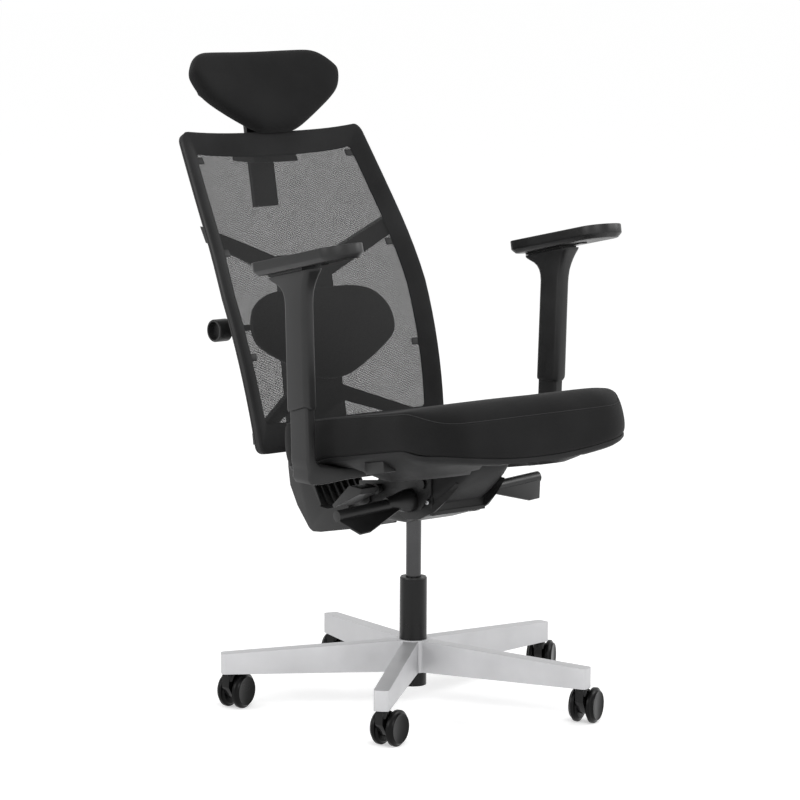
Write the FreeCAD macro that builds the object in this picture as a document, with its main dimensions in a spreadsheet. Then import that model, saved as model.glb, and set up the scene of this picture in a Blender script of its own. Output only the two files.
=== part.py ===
"""Swivel office chair with a reclining mesh back, headrest and height-adjustable arms.

All lengths are millimetres.  The origin is on the floor under the gas column, +Z is up and
the sitter faces -Y, so +X is the sitter's left.  The chair is modelled leaning back in its
last recline notch: the seat points slightly up at the front.
"""

import FreeCAD, Part
import math
import os
import re
import Sketcher

Vector = FreeCAD.Vector

os.makedirs("parts", exist_ok=True)
doc = FreeCAD.newDocument("office_chair")
sheet = doc.addObject("Spreadsheet::Sheet", "Sizes")

# ---------------------------------------------------------------- driving sizes
SIZES = [
    ("press_gap", 0.02, "radial gap of a pressed pin or tube"),
    ("run_gap", 0.05, "radial gap of a shaft that turns in its hole"),
    ("slide_gap", 0.3, "gap round a plastic slide"),
    ("seat_gap", 0.2, "gap between faces that are screwed together"),
    # star base
    ("hub_radius", 30, "outer radius of the hub"),
    ("hub_low", 64, "height of the hub's lower face"),
    ("hub_high", 124, "height of the hub's upper face"),
    ("leg_reach", 354, "centre to leg tip"),
    ("leg_width", 28, "width of a leg"),
    ("tip_low", "=caster_top + 2.5", "underside height at the tip"),
    ("tip_high", "=tip_low + 37", "top height at the tip"),
    ("tip_round", 7, "rounding of the tip's upright edges"),
    ("first_leg", -139.2, "direction of the first leg from +X"),
    ("caster_reach", 340, "centre to caster stem"),
    ("socket_depth", 30, "depth of the stem socket in a leg"),
    # gas lift
    ("column_radius", 25, "outer radius of the pressure column's outer tube"),
    ("column_wall", 2, "wall of the outer tube"),
    ("column_low", 38, "lower end of the outer tube"),
    ("column_high", 237, "upper end of the outer tube"),
    ("collar_lip", 2.5, "height of the guide bush's lip over the tube"),
    ("bush_length", 80, "length of the guide bush in the tube"),
    ("lift_radius", 14, "radius of the sliding pressure tube"),
    ("lift_low", 150, "lower end of the pressure tube"),
    ("lift_high", 398, "upper end of the pressure tube"),
    ("lift_travel", 100, "stroke of the gas lift"),
    ("piston_radius", 5, "radius of the piston rod"),
    ("bearing_height", 8, "thickness of the thrust bearing"),
    # casters
    ("wheel_radius", 32.5, "wheel radius"),
    ("wheel_width", 16.5, "width of one wheel"),
    ("caster_body", 15, "width of the caster body between the wheels"),
    ("wheel_side_gap", 0.6, "gap between body and wheel"),
    ("trail", 24, "stem axis to wheel axis"),
    ("stem_radius", 5.5, "radius of the caster stem"),
    ("axle_radius", 4, "radius of the wheel axle"),
    ("caster_top", "=2 * wheel_radius + 0.5", "height of the caster body's top"),
    # tilt mechanism
    ("tub_half", 65, "half width of the mechanism housing"),
    ("tub_wall", 6, "wall of the mechanism housing"),
    ("tub_low", 350, "height of the housing's lowest face"),
    ("tub_rear", 24, "rear end of the housing"),
    ("tub_front", -128, "front end of the housing, where the nose cover starts"),
    ("nose_front", -216, "front end of the nose cover"),
    ("plate_thick", 4, "thickness of the side plates"),
    ("socket_radius", 22, "outer radius of the column socket"),
    ("pin_radius", 6, "radius of the two pivot pins"),
    ("recline_y", 48, "recline pivot, forward and back"),
    ("recline_z", 385, "height of the recline pivot"),
    ("tilt_y", -105, "seat tilt pivot, forward and back"),
    ("tilt_z", 432, "height of the seat tilt pivot"),
    ("coil_radius", 15, "mean radius of the recline spring"),
    ("coil_wire", 2.5, "radius of the spring wire"),
    ("coil_length", 84, "length of the recline spring"),
    ("spring_z", 401, "height of the spring's axis"),
    ("spring_seat", 30, "column axis to the face the spring starts on"),
    # levers
    ("lever_y", -72, "lever axis, forward and back"),
    ("lever_z", 398, "height of the lever axis"),
    ("lever_reach", 240, "centre plane to lever end"),
    ("lever_radius", 10.5, "radius of the lever's grip tube"),
    ("lever_hub", 17, "radius of the lever's hub"),
    ("paddle_reach", 46, "width of the lever's finger paddle"),
    ("blade_y", 12, "tension lever axis, forward and back"),
    ("blade_z", 408, "height of the tension lever axis"),
    # seat, drawn level and then tilted up at the front
    ("seat_tilt", 10.5, "upward tilt of the seat's front"),
    ("seat_y", -50, "seat datum, forward and back"),
    ("seat_z", 468, "height of the seat datum, the underside of the shell"),
    ("shell_half", 236, "half width of the seat shell"),
    ("shell_front", -292, "front edge of the shell from the datum"),
    ("shell_rear", 160, "rear edge of the shell from the datum"),
    ("shell_thick", 11.5, "thickness of the shell"),
    ("handle_y", 127, "slide handle's middle in front of the datum"),
    ("lobe_rear", 60, "rear face of the shell's lobes in front of the datum"),
    ("lobe_front", 184, "front end of the lobes' flat underside"),
    ("lobe_deep", 34, "depth of the lobes under the shell"),
    ("cushion_half", 250, "half width of the cushion"),
    ("cushion_front", -305, "front of the cushion from the datum"),
    ("cushion_rear", 166, "rear of the cushion from the datum"),
    ("cushion_high", 88, "top of the cushion over the datum"),
    ("cushion_nose", 62, "height of the cushion's front edge over the datum"),
    ("cushion_corner", 80, "corner radius of the cushion"),
    ("carrier_half", 112, "half width of the seat carrier"),
    ("carrier_thick", 13, "thickness of the seat carrier"),
    ("carrier_front", -150, "front end of the carrier from the datum"),
    ("carrier_rear", 150, "rear end of the carrier from the datum"),
    # arms
    ("arm_span", 292, "centre plane to the foot of an arm post"),
    ("arm_y", -43, "arm post, forward and back"),
    ("arm_z", 466, "height of the foot of the post"),
    ("arm_splay", 1.9, "outward lean of the posts"),
    ("post_deep", 50, "section of the post, forward and back"),
    ("post_wide", 20, "section of the post, side to side"),
    ("post_high", 280, "length of the post"),
    ("sleeve_deep", 58, "section of the sleeve, forward and back"),
    ("sleeve_wide", 27, "section of the sleeve, side to side"),
    ("sleeve_low", 117, "lower end of the sleeve above the post's foot"),
    ("sleeve_high", 358, "upper end of the sleeve above the post's foot"),
    ("flare_rear", 68, "rear end of the sleeve's flared head"),
    ("flare_front", -48, "front end of the sleeve's flared head"),
    ("bar_low", -18, "underside of the arm's bar from the seat datum"),
    ("tongue_thick", 4, "thickness of the bar's tongue under the carrier"),
    ("tongue_end", 78, "centre plane to the end of the tongue"),
    ("pad_tilt", 12.3, "upward tilt of the arm pads' front"),
    ("pad_rear", 87, "rear end of a pad from the post"),
    ("pad_front", -158, "front end of a pad from the post"),
    ("pad_width", 88, "width of a pad"),
    ("pad_base", 4.6, "underside of a pad over the sleeve head"),
    ("pad_bevel", 8, "height of the bevel under a pad"),
    ("pad_wall", 16.5, "height of a pad's side wall"),
    ("pad_corner", 22, "rear corner radius of a pad"),
    ("pad_front_corner", 38, "front corner radius of a pad"),
    # back
    ("back_low_y", 179, "lower edge of the mesh, forward and back"),
    ("back_low_z", 472, "height of the mesh's lower edge"),
    ("back_radius", 1010, "radius of the back's curve"),
    ("lean_low", 8, "lean of the back at its lower edge"),
    ("lean_high", 32.5, "lean of the back's straight upper part"),
    ("back_top_z", 1027, "height of the back's upper edge"),
    ("back_half_low", 221, "half width at the lower edge"),
    ("back_half_mid", 238.5, "half width at the widest"),
    ("back_half_top", 212.5, "half width at the upper edge"),
    ("back_wide_z", 750, "height of the widest place"),
    ("mesh_thick", 2.4, "thickness of the mesh panel"),
    ("rim_half_depth", 10, "half depth of the rim about the back's curve"),
    ("rim_side", 34, "width of the rim's side members"),
    ("rim_top", 35, "width of the rim's upper and lower members"),
    ("mesh_inset", 10, "outline of the mesh inside the rim's outer edge"),
    ("side_curve_low", 2100, "radius of the back's sides below the widest place"),
    ("side_curve_top", 1500, "radius of the back's sides above it"),
    ("back_corner", 24, "corner radius of the back"),
    ("carrier_bar_half", 58, "half width of the back carrier"),
    ("nose_half", 48, "half width of the carrier's nose in the mechanism"),
    ("spine_half", 62, "half width of the spine"),
    ("spine_thick", 14, "thickness of the spine"),
    ("lumbar_z", 676, "height of the lumbar screw and knob"),
    ("lumbar_half", 172, "half width of the lumbar pad"),
    ("lumbar_gap", 27, "lumbar pad behind the back's curve"),
    ("lumbar_thick", 12, "thickness of the lumbar pad"),
    ("lumbar_screw_radius", 6, "radius of the lumbar screw"),
    ("knob_y", 312, "lumbar knob axis, forward and back"),
    ("knob_radius", 21, "radius of the lumbar knob"),
    ("knob_length", 28, "length of the lumbar knob"),
    ("knob_end", 213, "centre plane to the knob's outer end"),
    # headrest
    ("stem_wide", 56, "width of the headrest stem"),
    ("stem_thick", 10, "thickness of the headrest stem"),
    ("stem_lean", 11, "lean of the headrest stem"),
    ("stem_y", 461, "stem centre in its bracket, forward and back"),
    ("stem_z", 985, "height where the stem passes its bracket"),
    ("stem_down", 100, "stem length below that place"),
    ("hinge_up", 114, "hinge height above that place, along the stem"),
    ("hinge_pin", 4, "radius of the headrest hinge pin"),
    ("head_y", 448, "headrest centre, forward and back"),
    ("head_z", 1106, "height of the headrest centre"),
    ("head_lean", 33, "lean of the headrest"),
    ("head_half", 170, "half width of the headrest"),
    ("head_thick", 36, "thickness of the headrest pad"),
    ("head_curve", 640, "radius of the headrest's forward curve"),
    ("head_shell", 5, "thickness of the headrest's rear shell"),
]

ALIASES = {alias for alias, size, meaning in SIZES}
for row, (alias, size, meaning) in enumerate(SIZES, start=1):
    sheet.set("A%d" % row, alias.replace("_", " "))
    sheet.set("B%d" % row, str(size))
    sheet.set("C%d" % row, meaning)
    sheet.setAlias("B%d" % row, alias)
doc.recompute()


def bind(text):
    """An expression with each size's name led by the sheet's name."""
    return re.sub(r"[a-z_]+", lambda word: "Sizes." + word[0] if word[0] in ALIASES else word[0], str(text))


def number(text):
    """The value of an expression now."""
    return float(sheet.evalExpression(bind(text)))


# ---------------------------------------------------------------- drawing helpers
def new_body(label):
    body = doc.addObject("PartDesign::Body", label)
    body.Label = label
    return body


def new_sketch(body, role, offset="0"):
    """A sketch on one of the body's own origin planes, moved along its normal."""
    sketch = body.newObject("Sketcher::SketchObject", body.Label + "_sketch")
    plane = [item for item in body.Origin.OriginFeatures if item.Role == role][0]
    sketch.AttachmentSupport = [(plane, "")]
    sketch.MapMode = "FlatFace"
    sketch.setExpression("AttachmentOffset.Base.z", bind(offset))
    return sketch


def fix_point(sketch, edge, end, across, up):
    """Bind one end of an edge to its place on the sketch."""
    for kind, text in (("DistanceX", across), ("DistanceY", up)):
        index = sketch.addConstraint(Sketcher.Constraint(kind, -1, 1, edge, end, number(text)))
        sketch.setExpression("Constraints[%d]" % index, bind(text))


def outline(sketch, points):
    """A closed outline.  A point is (across, up), or (across, up, radius) where an arc arrives;
    a positive radius bulges to the left of the way of travel."""
    places = [Vector(number(point[0]), number(point[1]), 0) for point in points]
    first = sketch.GeometryCount
    starts = []
    ends = []
    for i, start in enumerate(places):
        after = (i + 1) % len(points)
        end = places[after]
        radius = points[after][2] if len(points[after]) > 2 else None
        if radius is None:
            sketch.addGeometry(Part.LineSegment(start, end), False)
            starts.append(1)
            ends.append(2)
            continue
        size = number(radius)
        chord = end - start
        rise = abs(size) - math.sqrt(size * size - chord.Length ** 2 / 4)
        left = Vector(-chord.y, chord.x, 0).normalize()
        middle = (start + end) * 0.5 + left * math.copysign(rise, size)
        turn_left = size < 0
        ordered = (start, middle, end) if turn_left else (end, middle, start)
        sketch.addGeometry(Part.Arc(*ordered), False)
        starts.append(1 if turn_left else 2)
        ends.append(2 if turn_left else 1)
    for i, point in enumerate(points):
        after = (i + 1) % len(points)
        sketch.addConstraint(Sketcher.Constraint("Coincident", first + i, ends[i], first + after, starts[after]))
        fix_point(sketch, first + i, starts[i], point[0], point[1])
        if len(points[after]) > 2:
            size = number(points[after][2])
            index = sketch.addConstraint(Sketcher.Constraint("Radius", first + i, abs(size)))
            sketch.setExpression("Constraints[%d]" % index, bind("abs(%s)" % points[after][2]))


def circle(sketch, across, up, radius):
    edge = sketch.addGeometry(Part.Circle(Vector(number(across), number(up), 0), Vector(0, 0, 1), number(radius)), False)
    fix_point(sketch, edge, 3, across, up)
    index = sketch.addConstraint(Sketcher.Constraint("Radius", edge, number(radius)))
    sketch.setExpression("Constraints[%d]" % index, bind(radius))


def feature(body, kind, sketch, length):
    made = body.newObject("PartDesign::" + kind, body.Label + "_" + kind.lower())
    made.Profile = sketch
    if length == "through":
        made.Type = "ThroughAll"
        made.Midplane = True
    else:
        made.setExpression("Length", bind(length))
    return made


def pad(body, role, points, low, length):
    """Add an extruded outline, from low along the plane's normal."""
    sketch = new_sketch(body, role, low)
    outline(sketch, points)
    return feature(body, "Pad", sketch, length)


def pad_round(body, role, across, up, radius, low, length):
    sketch = new_sketch(body, role, low)
    circle(sketch, across, up, radius)
    return feature(body, "Pad", sketch, length)


def carve(body, role, points, low, length, backward=True):
    """Take away an extruded outline; backward cuts against the plane's normal."""
    sketch = new_sketch(body, role, low)
    outline(sketch, points)
    made = feature(body, "Pocket", sketch, length)
    made.Reversed = not backward
    return made


def drill(body, role, holes, low, length, backward=True):
    """Holes, each (across, up, radius)."""
    sketch = new_sketch(body, role, low)
    for across, up, radius in holes:
        circle(sketch, across, up, radius)
    made = feature(body, "Pocket", sketch, length)
    made.Reversed = not backward
    return made


def turned(label, profile):
    """A body turned about Z from its (radius, height) profile."""
    body = new_body(label)
    sketch = new_sketch(body, "XZ_Plane")
    outline(sketch, profile)
    made = body.newObject("PartDesign::Revolution", label + "_turn")
    made.Profile = sketch
    made.ReferenceAxis = (sketch, ["V_Axis"])
    made.Angle = 360
    return body


def round_edges(body, radius, wanted):
    """Fillet the edges of the body's shape that the test wants."""
    doc.recompute()
    base = body.Tip
    names = ["Edge%d" % (i + 1) for i, edge in enumerate(base.Shape.Edges) if wanted(edge)]
    made = body.newObject("PartDesign::Fillet", body.Label + "_fillet")
    made.Base = (base, names)
    made.setExpression("Radius", bind(radius))
    return made


def along(edge, direction):
    """Whether an edge is straight and runs along a direction."""
    if len(edge.Vertexes) != 2 or edge.Curve.TypeId != "Part::GeomLine":
        return False
    run = edge.Vertexes[1].Point - edge.Vertexes[0].Point
    return run.getAngle(direction) < 0.01 or run.getAngle(direction * -1) < 0.01


def place(item, across="0", depth="0", height="0", rotation=None):
    """Put a piece in place; its position stays bound to the sheet."""
    spot = Vector(number(across), number(depth), number(height))
    item.Placement = FreeCAD.Placement(spot, rotation or FreeCAD.Rotation())
    item.setExpression("Placement.Base.x", bind(across))
    item.setExpression("Placement.Base.y", bind(depth))
    item.setExpression("Placement.Base.z", bind(height))
    return item


def tilted(size):
    """Rotation that lifts the front, or leans the top back, by a named angle."""
    return FreeCAD.Rotation(Vector(1, 0, 0), -number(size))


def group(label, members):
    made = doc.addObject("Part::Compound", label)
    made.Label = label
    made.Links = members
    return made


def mirrored(label, source):
    made = doc.addObject("Part::Mirroring", label)
    made.Label = label
    made.Source = source
    made.Base = (0, 0, 0)
    made.Normal = (1, 0, 0)
    return made


X, Y, Z = Vector(1, 0, 0), Vector(0, 1, 0), Vector(0, 0, 1)
kept = []


def keep(item):
    """List a finished sub-part for writing."""
    kept.append(item)
    return item


# ---------------------------------------------------------------- star base
base = new_body("star_base")
pad_round(base, "XY_Plane", "0", "0", "hub_radius", "hub_low", "hub_high - hub_low")
leg = pad(
    base,
    "XZ_Plane",
    [("0", "hub_low"), ("leg_reach", "tip_low"), ("leg_reach", "tip_high"), ("0", "hub_high")],
    "-leg_width / 2",
    "leg_width",
)
sketch = new_sketch(base, "XY_Plane", "tip_low - 10")
circle(sketch, "caster_reach", "0", "stem_radius + run_gap")
socket = feature(base, "Pocket", sketch, "socket_depth + 10")
socket.Reversed = True
star = base.newObject("PartDesign::PolarPattern", "star")
star.Originals = [leg, socket]
star.Axis = ([item for item in base.Origin.OriginFeatures if item.Role == "Z_Axis"][0], [""])
star.Angle = 360
star.Occurrences = 5
base.Tip = star
drill(base, "XY_Plane", [("0", "0", "column_radius + press_gap")], "0", "hub_high + 10", backward=False)
doc.recompute()


def at_tip(edge):
    middle = edge.CenterOfMass
    return along(edge, Z) and math.hypot(middle.x, middle.y) > number("leg_reach - 1")


round_edges(base, "tip_round", at_tip)
place(base, rotation=FreeCAD.Rotation(Z, number("first_leg")))
keep(base)

# ---------------------------------------------------------------- gas lift
bore = "column_radius - column_wall"
keep(turned("column_tube", [
    ("0", "column_low"), ("column_radius", "column_low"), ("column_radius", "column_high"),
    (bore, "column_high"), (bore, "column_low + column_wall"), ("0", "column_low + column_wall"),
]))
inside = "column_radius - column_wall - press_gap"
keep(turned("guide_bush", [
    ("lift_radius + run_gap", "column_high - bush_length"), (inside, "column_high - bush_length"),
    (inside, "column_high + 0.1"), ("column_radius - 0.5", "column_high + 0.1"),
    ("column_radius - 1.5", "column_high + collar_lip"), ("lift_radius + run_gap", "column_high + collar_lip"),
]))
bearing_low = "column_low + column_wall + 0.1"
keep(turned("thrust_bearing", [
    ("piston_radius + press_gap", bearing_low), ("16", bearing_low),
    ("16", bearing_low + " + bearing_height"), ("piston_radius + press_gap", bearing_low + " + bearing_height"),
]))
keep(turned("piston_rod", [
    ("0", bearing_low), ("piston_radius", bearing_low), ("piston_radius", "lift_low + 105"),
    ("0", "lift_low + 105"),
]))
keep(turned("lift_tube", [
    ("piston_radius + run_gap", "lift_low"), ("lift_radius", "lift_low"), ("lift_radius", "lift_high - 6"),
    ("lift_radius - 2", "lift_high"), ("0", "lift_high"), ("0", "lift_low + 110 + lift_travel"),
    ("piston_radius + run_gap", "lift_low + 110 + lift_travel"),
]))

# ---------------------------------------------------------------- casters
LEGS = 5
CASTER_TURN = [17.6, 25.6, 37.0, 25.0, 18.0]  # how each caster happens to be swivelled, from +X


def caster(number_of_leg, turn):
    """One twin-wheel caster, drawn with its stem at the origin and its wheels trailing along +X."""
    mark = "_%d" % (number_of_leg + 1)
    body = new_body("caster_body" + mark)
    pad(
        body,
        "XZ_Plane",
        [("-11", "caster_top"), ("-11", "43"), ("2", "24"), ("trail - 8", "wheel_radius - 16"),
         ("trail + 10", "wheel_radius - 12"), ("trail + 20", "wheel_radius + 6"),
         ("trail + 8", "wheel_radius + 24"), ("14", "caster_top")],
        "-caster_body / 2",
        "caster_body",
    )
    pad_round(body, "XY_Plane", "0", "0", "11", "caster_top - 12", "12")
    drill(body, "XY_Plane", [("0", "0", "stem_radius + press_gap")], "caster_top", "16")
    drill(body, "XZ_Plane", [("trail", "wheel_radius", "axle_radius + press_gap")], "0", "through")
    stem = turned("caster_stem" + mark, [
        ("0", "caster_top - 15.8"), ("stem_radius", "caster_top - 15.8"),
        ("stem_radius", "tip_low + socket_depth - 4"), ("stem_radius - 2", "tip_low + socket_depth - 2"),
        ("0", "tip_low + socket_depth - 2"),
    ])
    side = "caster_body / 2 + wheel_side_gap"
    axle_half = "(caster_body / 2 + wheel_side_gap + wheel_width - 4)"
    axle = turned("caster_axle" + mark, [
        ("0", "-" + axle_half), ("axle_radius", "-" + axle_half), ("axle_radius", axle_half), ("0", axle_half),
    ])
    wheels = []
    for hand in (-1, 1):
        wheel = turned("wheel" + mark, [
            ("0", side + " + wheel_width - 3.5"), ("axle_radius + run_gap", side + " + wheel_width - 3.5"),
            ("axle_radius + run_gap", side), ("wheel_radius - 6", side),
            ("wheel_radius", side + " + 4", "7"), ("wheel_radius", side + " + wheel_width - 6"),
            ("wheel_radius - 6", side + " + wheel_width", "9"), ("wheel_radius - 9", side + " + wheel_width - 1.5"),
            ("0", side + " + wheel_width - 1.5"),
        ])
        wheels.append((wheel, hand))
    leg_angle = math.radians(number("first_leg") + number_of_leg * 360 / LEGS)
    swivel = FreeCAD.Rotation(Z, turn)
    reach = "caster_reach * cos(first_leg + %g)" % (number_of_leg * 360 / LEGS)
    aside = "caster_reach * sin(first_leg + %g)" % (number_of_leg * 360 / LEGS)
    place(body, reach, aside, "0", swivel)
    place(stem, reach, aside, "0", swivel)
    hub_x = "%s + trail * cos(%g)" % (reach, turn)
    hub_y = "%s + trail * sin(%g)" % (aside, turn)
    place(axle, hub_x, hub_y, "wheel_radius", swivel * FreeCAD.Rotation(X, 90))
    for wheel, hand in wheels:
        place(wheel, hub_x, hub_y, "wheel_radius", swivel * FreeCAD.Rotation(X, 90 * hand))
    keep(body)
    keep(group("caster_pins" + mark, [stem, axle]))
    keep(group("caster_wheels" + mark, [wheel for wheel, hand in wheels]))


for k, turn in enumerate(CASTER_TURN):
    caster(k, turn)

# ---------------------------------------------------------------- tilt mechanism
tub = new_body("mech_housing")
pad(
    tub,
    "YZ_Plane",
    [("tub_rear", "tub_low + 14"), ("tub_rear - 14", "tub_low"), ("-45", "tub_low + 2"),
     ("tub_front", "tub_low + 28"), ("tub_front", "tub_low + 98"), ("tub_rear", "tub_low + 74")],
    "-tub_half",
    "2 * tub_half",
)
round_edges(tub, "11", lambda edge: edge.BoundBox.XLength < 0.1 and edge.BoundBox.YLength > 30
            and edge.BoundBox.ZMax < number("tub_low + 30") and abs(edge.CenterOfMass.x) > number("tub_half - 1"))
carve(
    tub,
    "YZ_Plane",
    [("tub_rear - tub_wall", "tub_low + 20"), ("-45", "tub_low + 2 + tub_wall"),
     ("tub_front - 1", "tub_low + 28 + tub_wall"), ("tub_front - 1", "tub_low + 120"),
     ("tub_rear - tub_wall", "tub_low + 120")],
    "tub_half - tub_wall",
    "2 * tub_half - 2 * tub_wall",
)
pad_round(tub, "XY_Plane", "0", "0", "socket_radius", "tub_low + 1", "56")
pad(tub, "XZ_Plane", [("-20", "tub_low + 3"), ("20", "tub_low + 3"), ("20", "spring_z + 20"), ("-20", "spring_z + 20")],
    "17", "spring_seat - 17")
front_seat = "(spring_seat + coil_length + 2 * coil_wire + 0.2)"
pad(tub, "XZ_Plane", [("-tub_half + 2", "tub_low + 26"), ("tub_half - 2", "tub_low + 26"),
                      ("tub_half - 2", "spring_z + 18"), ("-tub_half + 2", "spring_z + 18")], front_seat, "6")
drill(tub, "XY_Plane", [("0", "0", "lift_radius + press_gap")], "0", "tub_low + 100", backward=False)
drill(tub, "YZ_Plane", [("lever_y", "lever_z", "8 + run_gap"), ("blade_y", "blade_z", "5 + run_gap"),
                         ("tilt_y", "tilt_z", "pin_radius + slide_gap")], "0", "through")
keep(tub)

cover = new_body("mech_nose_cover")
NOSE_FRONT_HALF = "34"
pad(
    cover,
    "YZ_Plane",
    [("tub_front - seat_gap", "tub_low + 28"), ("nose_front + 46", "tub_low + 52"), ("nose_front + 8", "tub_low + 94"),
     ("nose_front", "tub_low + 110"), ("nose_front + 6", "tub_low + 114"), ("tub_front - seat_gap", "tub_low + 98")],
    "-tub_half",
    "2 * tub_half",
)
for side in (-1, 1):
    across = "%d * " % side
    carve(cover, "XY_Plane",
          [(across + "tub_half", "tub_front - 12"), (across + NOSE_FRONT_HALF, "nose_front - 1"),
           (across + "(tub_half + 5)", "nose_front - 1"), (across + "(tub_half + 5)", "tub_front - 12")],
          "tub_low + 150", "200")
carve(
    cover,
    "YZ_Plane",
    [("tub_front + 1", "tub_low + 33"), ("nose_front + 47", "tub_low + 57"), ("nose_front + 13", "tub_low + 96"),
     ("nose_front + 13", "tub_low + 130"), ("tub_front + 1", "tub_low + 130")],
    "30",
    "60",
)
keep(cover)


def side_plate(hand):
    """A steel side plate that carries both pivot pins."""
    plate = new_body("side_plate")
    pad(
        plate,
        "YZ_Plane",
        [("tub_rear + 50", "recline_z - 14"), ("tub_rear + 34", "recline_z - 24"), ("0", "tub_low + 16"),
         ("-60", "tub_low + 18"), ("-96", "tub_low + 30"), ("tub_front", "tub_low + 66"),
         ("tub_front", "tub_low + 96"), ("tub_rear", "tub_low + 72"), ("tub_rear + 50", "recline_z + 30")],
        "-plate_thick / 2",
        "plate_thick",
    )
    drill(plate, "YZ_Plane", [
        ("recline_y", "recline_z", "pin_radius + press_gap"), ("tilt_y", "tilt_z", "pin_radius + press_gap"),
        ("lever_y", "lever_z", "8 + run_gap"), ("blade_y", "blade_z", "5 + run_gap"),
    ], "0", "through")
    return place(plate, "%d * (tub_half + seat_gap + plate_thick / 2)" % hand)


keep(group("side_plates", [side_plate(-1), side_plate(1)]))


def pivot_pin(height, depth):
    """A pin across both side plates with a head at each end."""
    outer = "(tub_half + seat_gap + plate_thick)"
    pin = turned("pin", [
        ("0", "-%s - 4" % outer), ("9", "-%s - 4" % outer), ("9", "-%s - 0.1" % outer),
        ("pin_radius", "-%s - 0.1" % outer), ("pin_radius", "%s + 0.1" % outer), ("9", "%s + 0.1" % outer),
        ("9", "%s + 4" % outer), ("0", "%s + 4" % outer),
    ])
    return place(pin, "0", depth, height, FreeCAD.Rotation(Y, 90))


keep(group("pivot_pins", [pivot_pin("recline_z", "recline_y"), pivot_pin("tilt_z", "tilt_y")]))

spring_path = doc.addObject("Part::Helix", "spring_path")
spring_path.setExpression("Radius", bind("coil_radius"))
spring_path.setExpression("Height", bind("coil_length"))
spring_path.setExpression("Pitch", bind("coil_length / 8"))
wire = doc.addObject("Part::Circle", "wire")
wire.setExpression("Radius", bind("coil_wire"))
wire.Placement = FreeCAD.Placement(Vector(number("coil_radius"), 0, 0), FreeCAD.Rotation(X, 90))
spring = doc.addObject("Part::Sweep", "recline_spring")
spring.Sections = [wire]
spring.Spine = (spring_path, ["Edge1"])
spring.Solid = True
spring.Frenet = True
spring.Label = "recline_spring"
place(spring, "0", "-spring_seat - coil_wire - 0.1", "spring_z", FreeCAD.Rotation(X, 90))
keep(spring)


# ---------------------------------------------------------------- levers
def lever(label, lift, roll):
    """A hub and a grip tube that runs out sideways, with a finger paddle along the tube.
    lift raises the tube's outer end; roll turns the paddle down from level."""
    body = new_body(label)
    hub_in = "tub_half + plate_thick + 0.7"
    pad_round(body, "YZ_Plane", "0", "0", "lever_hub", hub_in, "24")
    pad_round(body, "YZ_Plane", "0", "0", "8", "tub_half - 3", "6 + plate_thick")
    rise = FreeCAD.Rotation(Vector(1, 0, 0), -lift)
    start = new_sketch(body, "YZ_Plane", hub_in + " + 12")
    start.AttachmentOffset = FreeCAD.Placement(start.AttachmentOffset.Base, rise)
    circle(start, "0", "0", "lever_radius")
    feature(body, "Pad", start, "lever_reach - tub_half - plate_thick - 13")
    blade = new_sketch(body, "XY_Plane", "0")
    turn = FreeCAD.Rotation(Vector(1, 0, 0), roll)
    blade.AttachmentOffset = FreeCAD.Placement(Vector(0, 0, number(hub_in) * -0.07 * lift / 4), FreeCAD.Rotation(
        Vector(0, 1, 0), -lift) * turn)
    outline(blade, [
        (hub_in + " + 24", "0"), ("lever_reach - 1", "0"), ("lever_reach - 1", "-10"),
        ("lever_reach - 20", "-paddle_reach"), ("lever_reach - 44", "-paddle_reach"), (hub_in + " + 24", "-8"),
    ])
    feature(body, "Pad", blade, "3.5")
    return place(body, "0", "lever_y", "lever_z")


keep(lever("tilt_lever", 4, 62))
keep(mirrored("height_lever", lever("height_lever_drawn_left", -4, 34)))

blade = new_body("tension_lever")
pad_round(blade, "YZ_Plane", "0", "0", "9", "-tub_half - plate_thick - 12", "11.3")
pad_round(blade, "YZ_Plane", "0", "0", "5", "-tub_half - plate_thick - 2", "9")
pad(blade, "YZ_Plane", [("-6", "5"), ("0", "-6"), ("74", "-40"), ("78", "-36"), ("30", "6")],
    "-tub_half - plate_thick - 50", "44")
place(blade, "0", "blade_y", "blade_z")
keep(blade)

# ---------------------------------------------------------------- seat
SEAT = ("0", "seat_y", "seat_z")

carrier = new_body("seat_carrier")
pad(carrier, "XY_Plane",
    [("-carrier_half", "carrier_front"), ("carrier_half", "carrier_front"), ("carrier_half", "carrier_rear"),
     ("-carrier_half", "carrier_rear")], "-carrier_thick - seat_gap", "carrier_thick")
carve(carrier, "XY_Plane",
      [("-78", "-15"), ("78", "-15"), ("78", "carrier_rear - 30"), ("-78", "carrier_rear - 30")],
      "0", "carrier_thick + 5")
SCREW_DEPTHS = ("-12", "20")  # forward and back of the seat datum
drill(carrier, "XY_Plane", [("%d * (tongue_end + 17)" % side, depth, "4 + press_gap")
                            for side in (-1, 1) for depth in SCREW_DEPTHS],
      "-carrier_thick - 1", "9", backward=False)
# the pivot in the seat's own tilted axes
EAR_Y = "((tilt_y - seat_y) * cos(seat_tilt) - (tilt_z - seat_z) * sin(seat_tilt))"
EAR_Z = "((tilt_y - seat_y) * sin(seat_tilt) + (tilt_z - seat_z) * cos(seat_tilt))"
for low in ("-48", "36"):
    pad(carrier, "YZ_Plane",
        [(EAR_Y + " - 13", "-carrier_thick - seat_gap + 1"), (EAR_Y + " - 13", EAR_Z + " - 12"),
         (EAR_Y + " + 13", EAR_Z + " - 12"), (EAR_Y + " + 13", "-carrier_thick - seat_gap + 1")], low, "12")
drill(carrier, "YZ_Plane", [(EAR_Y, EAR_Z, "pin_radius + run_gap")], "0", "through")
place(carrier, *SEAT, rotation=tilted("seat_tilt"))
keep(carrier)

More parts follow.
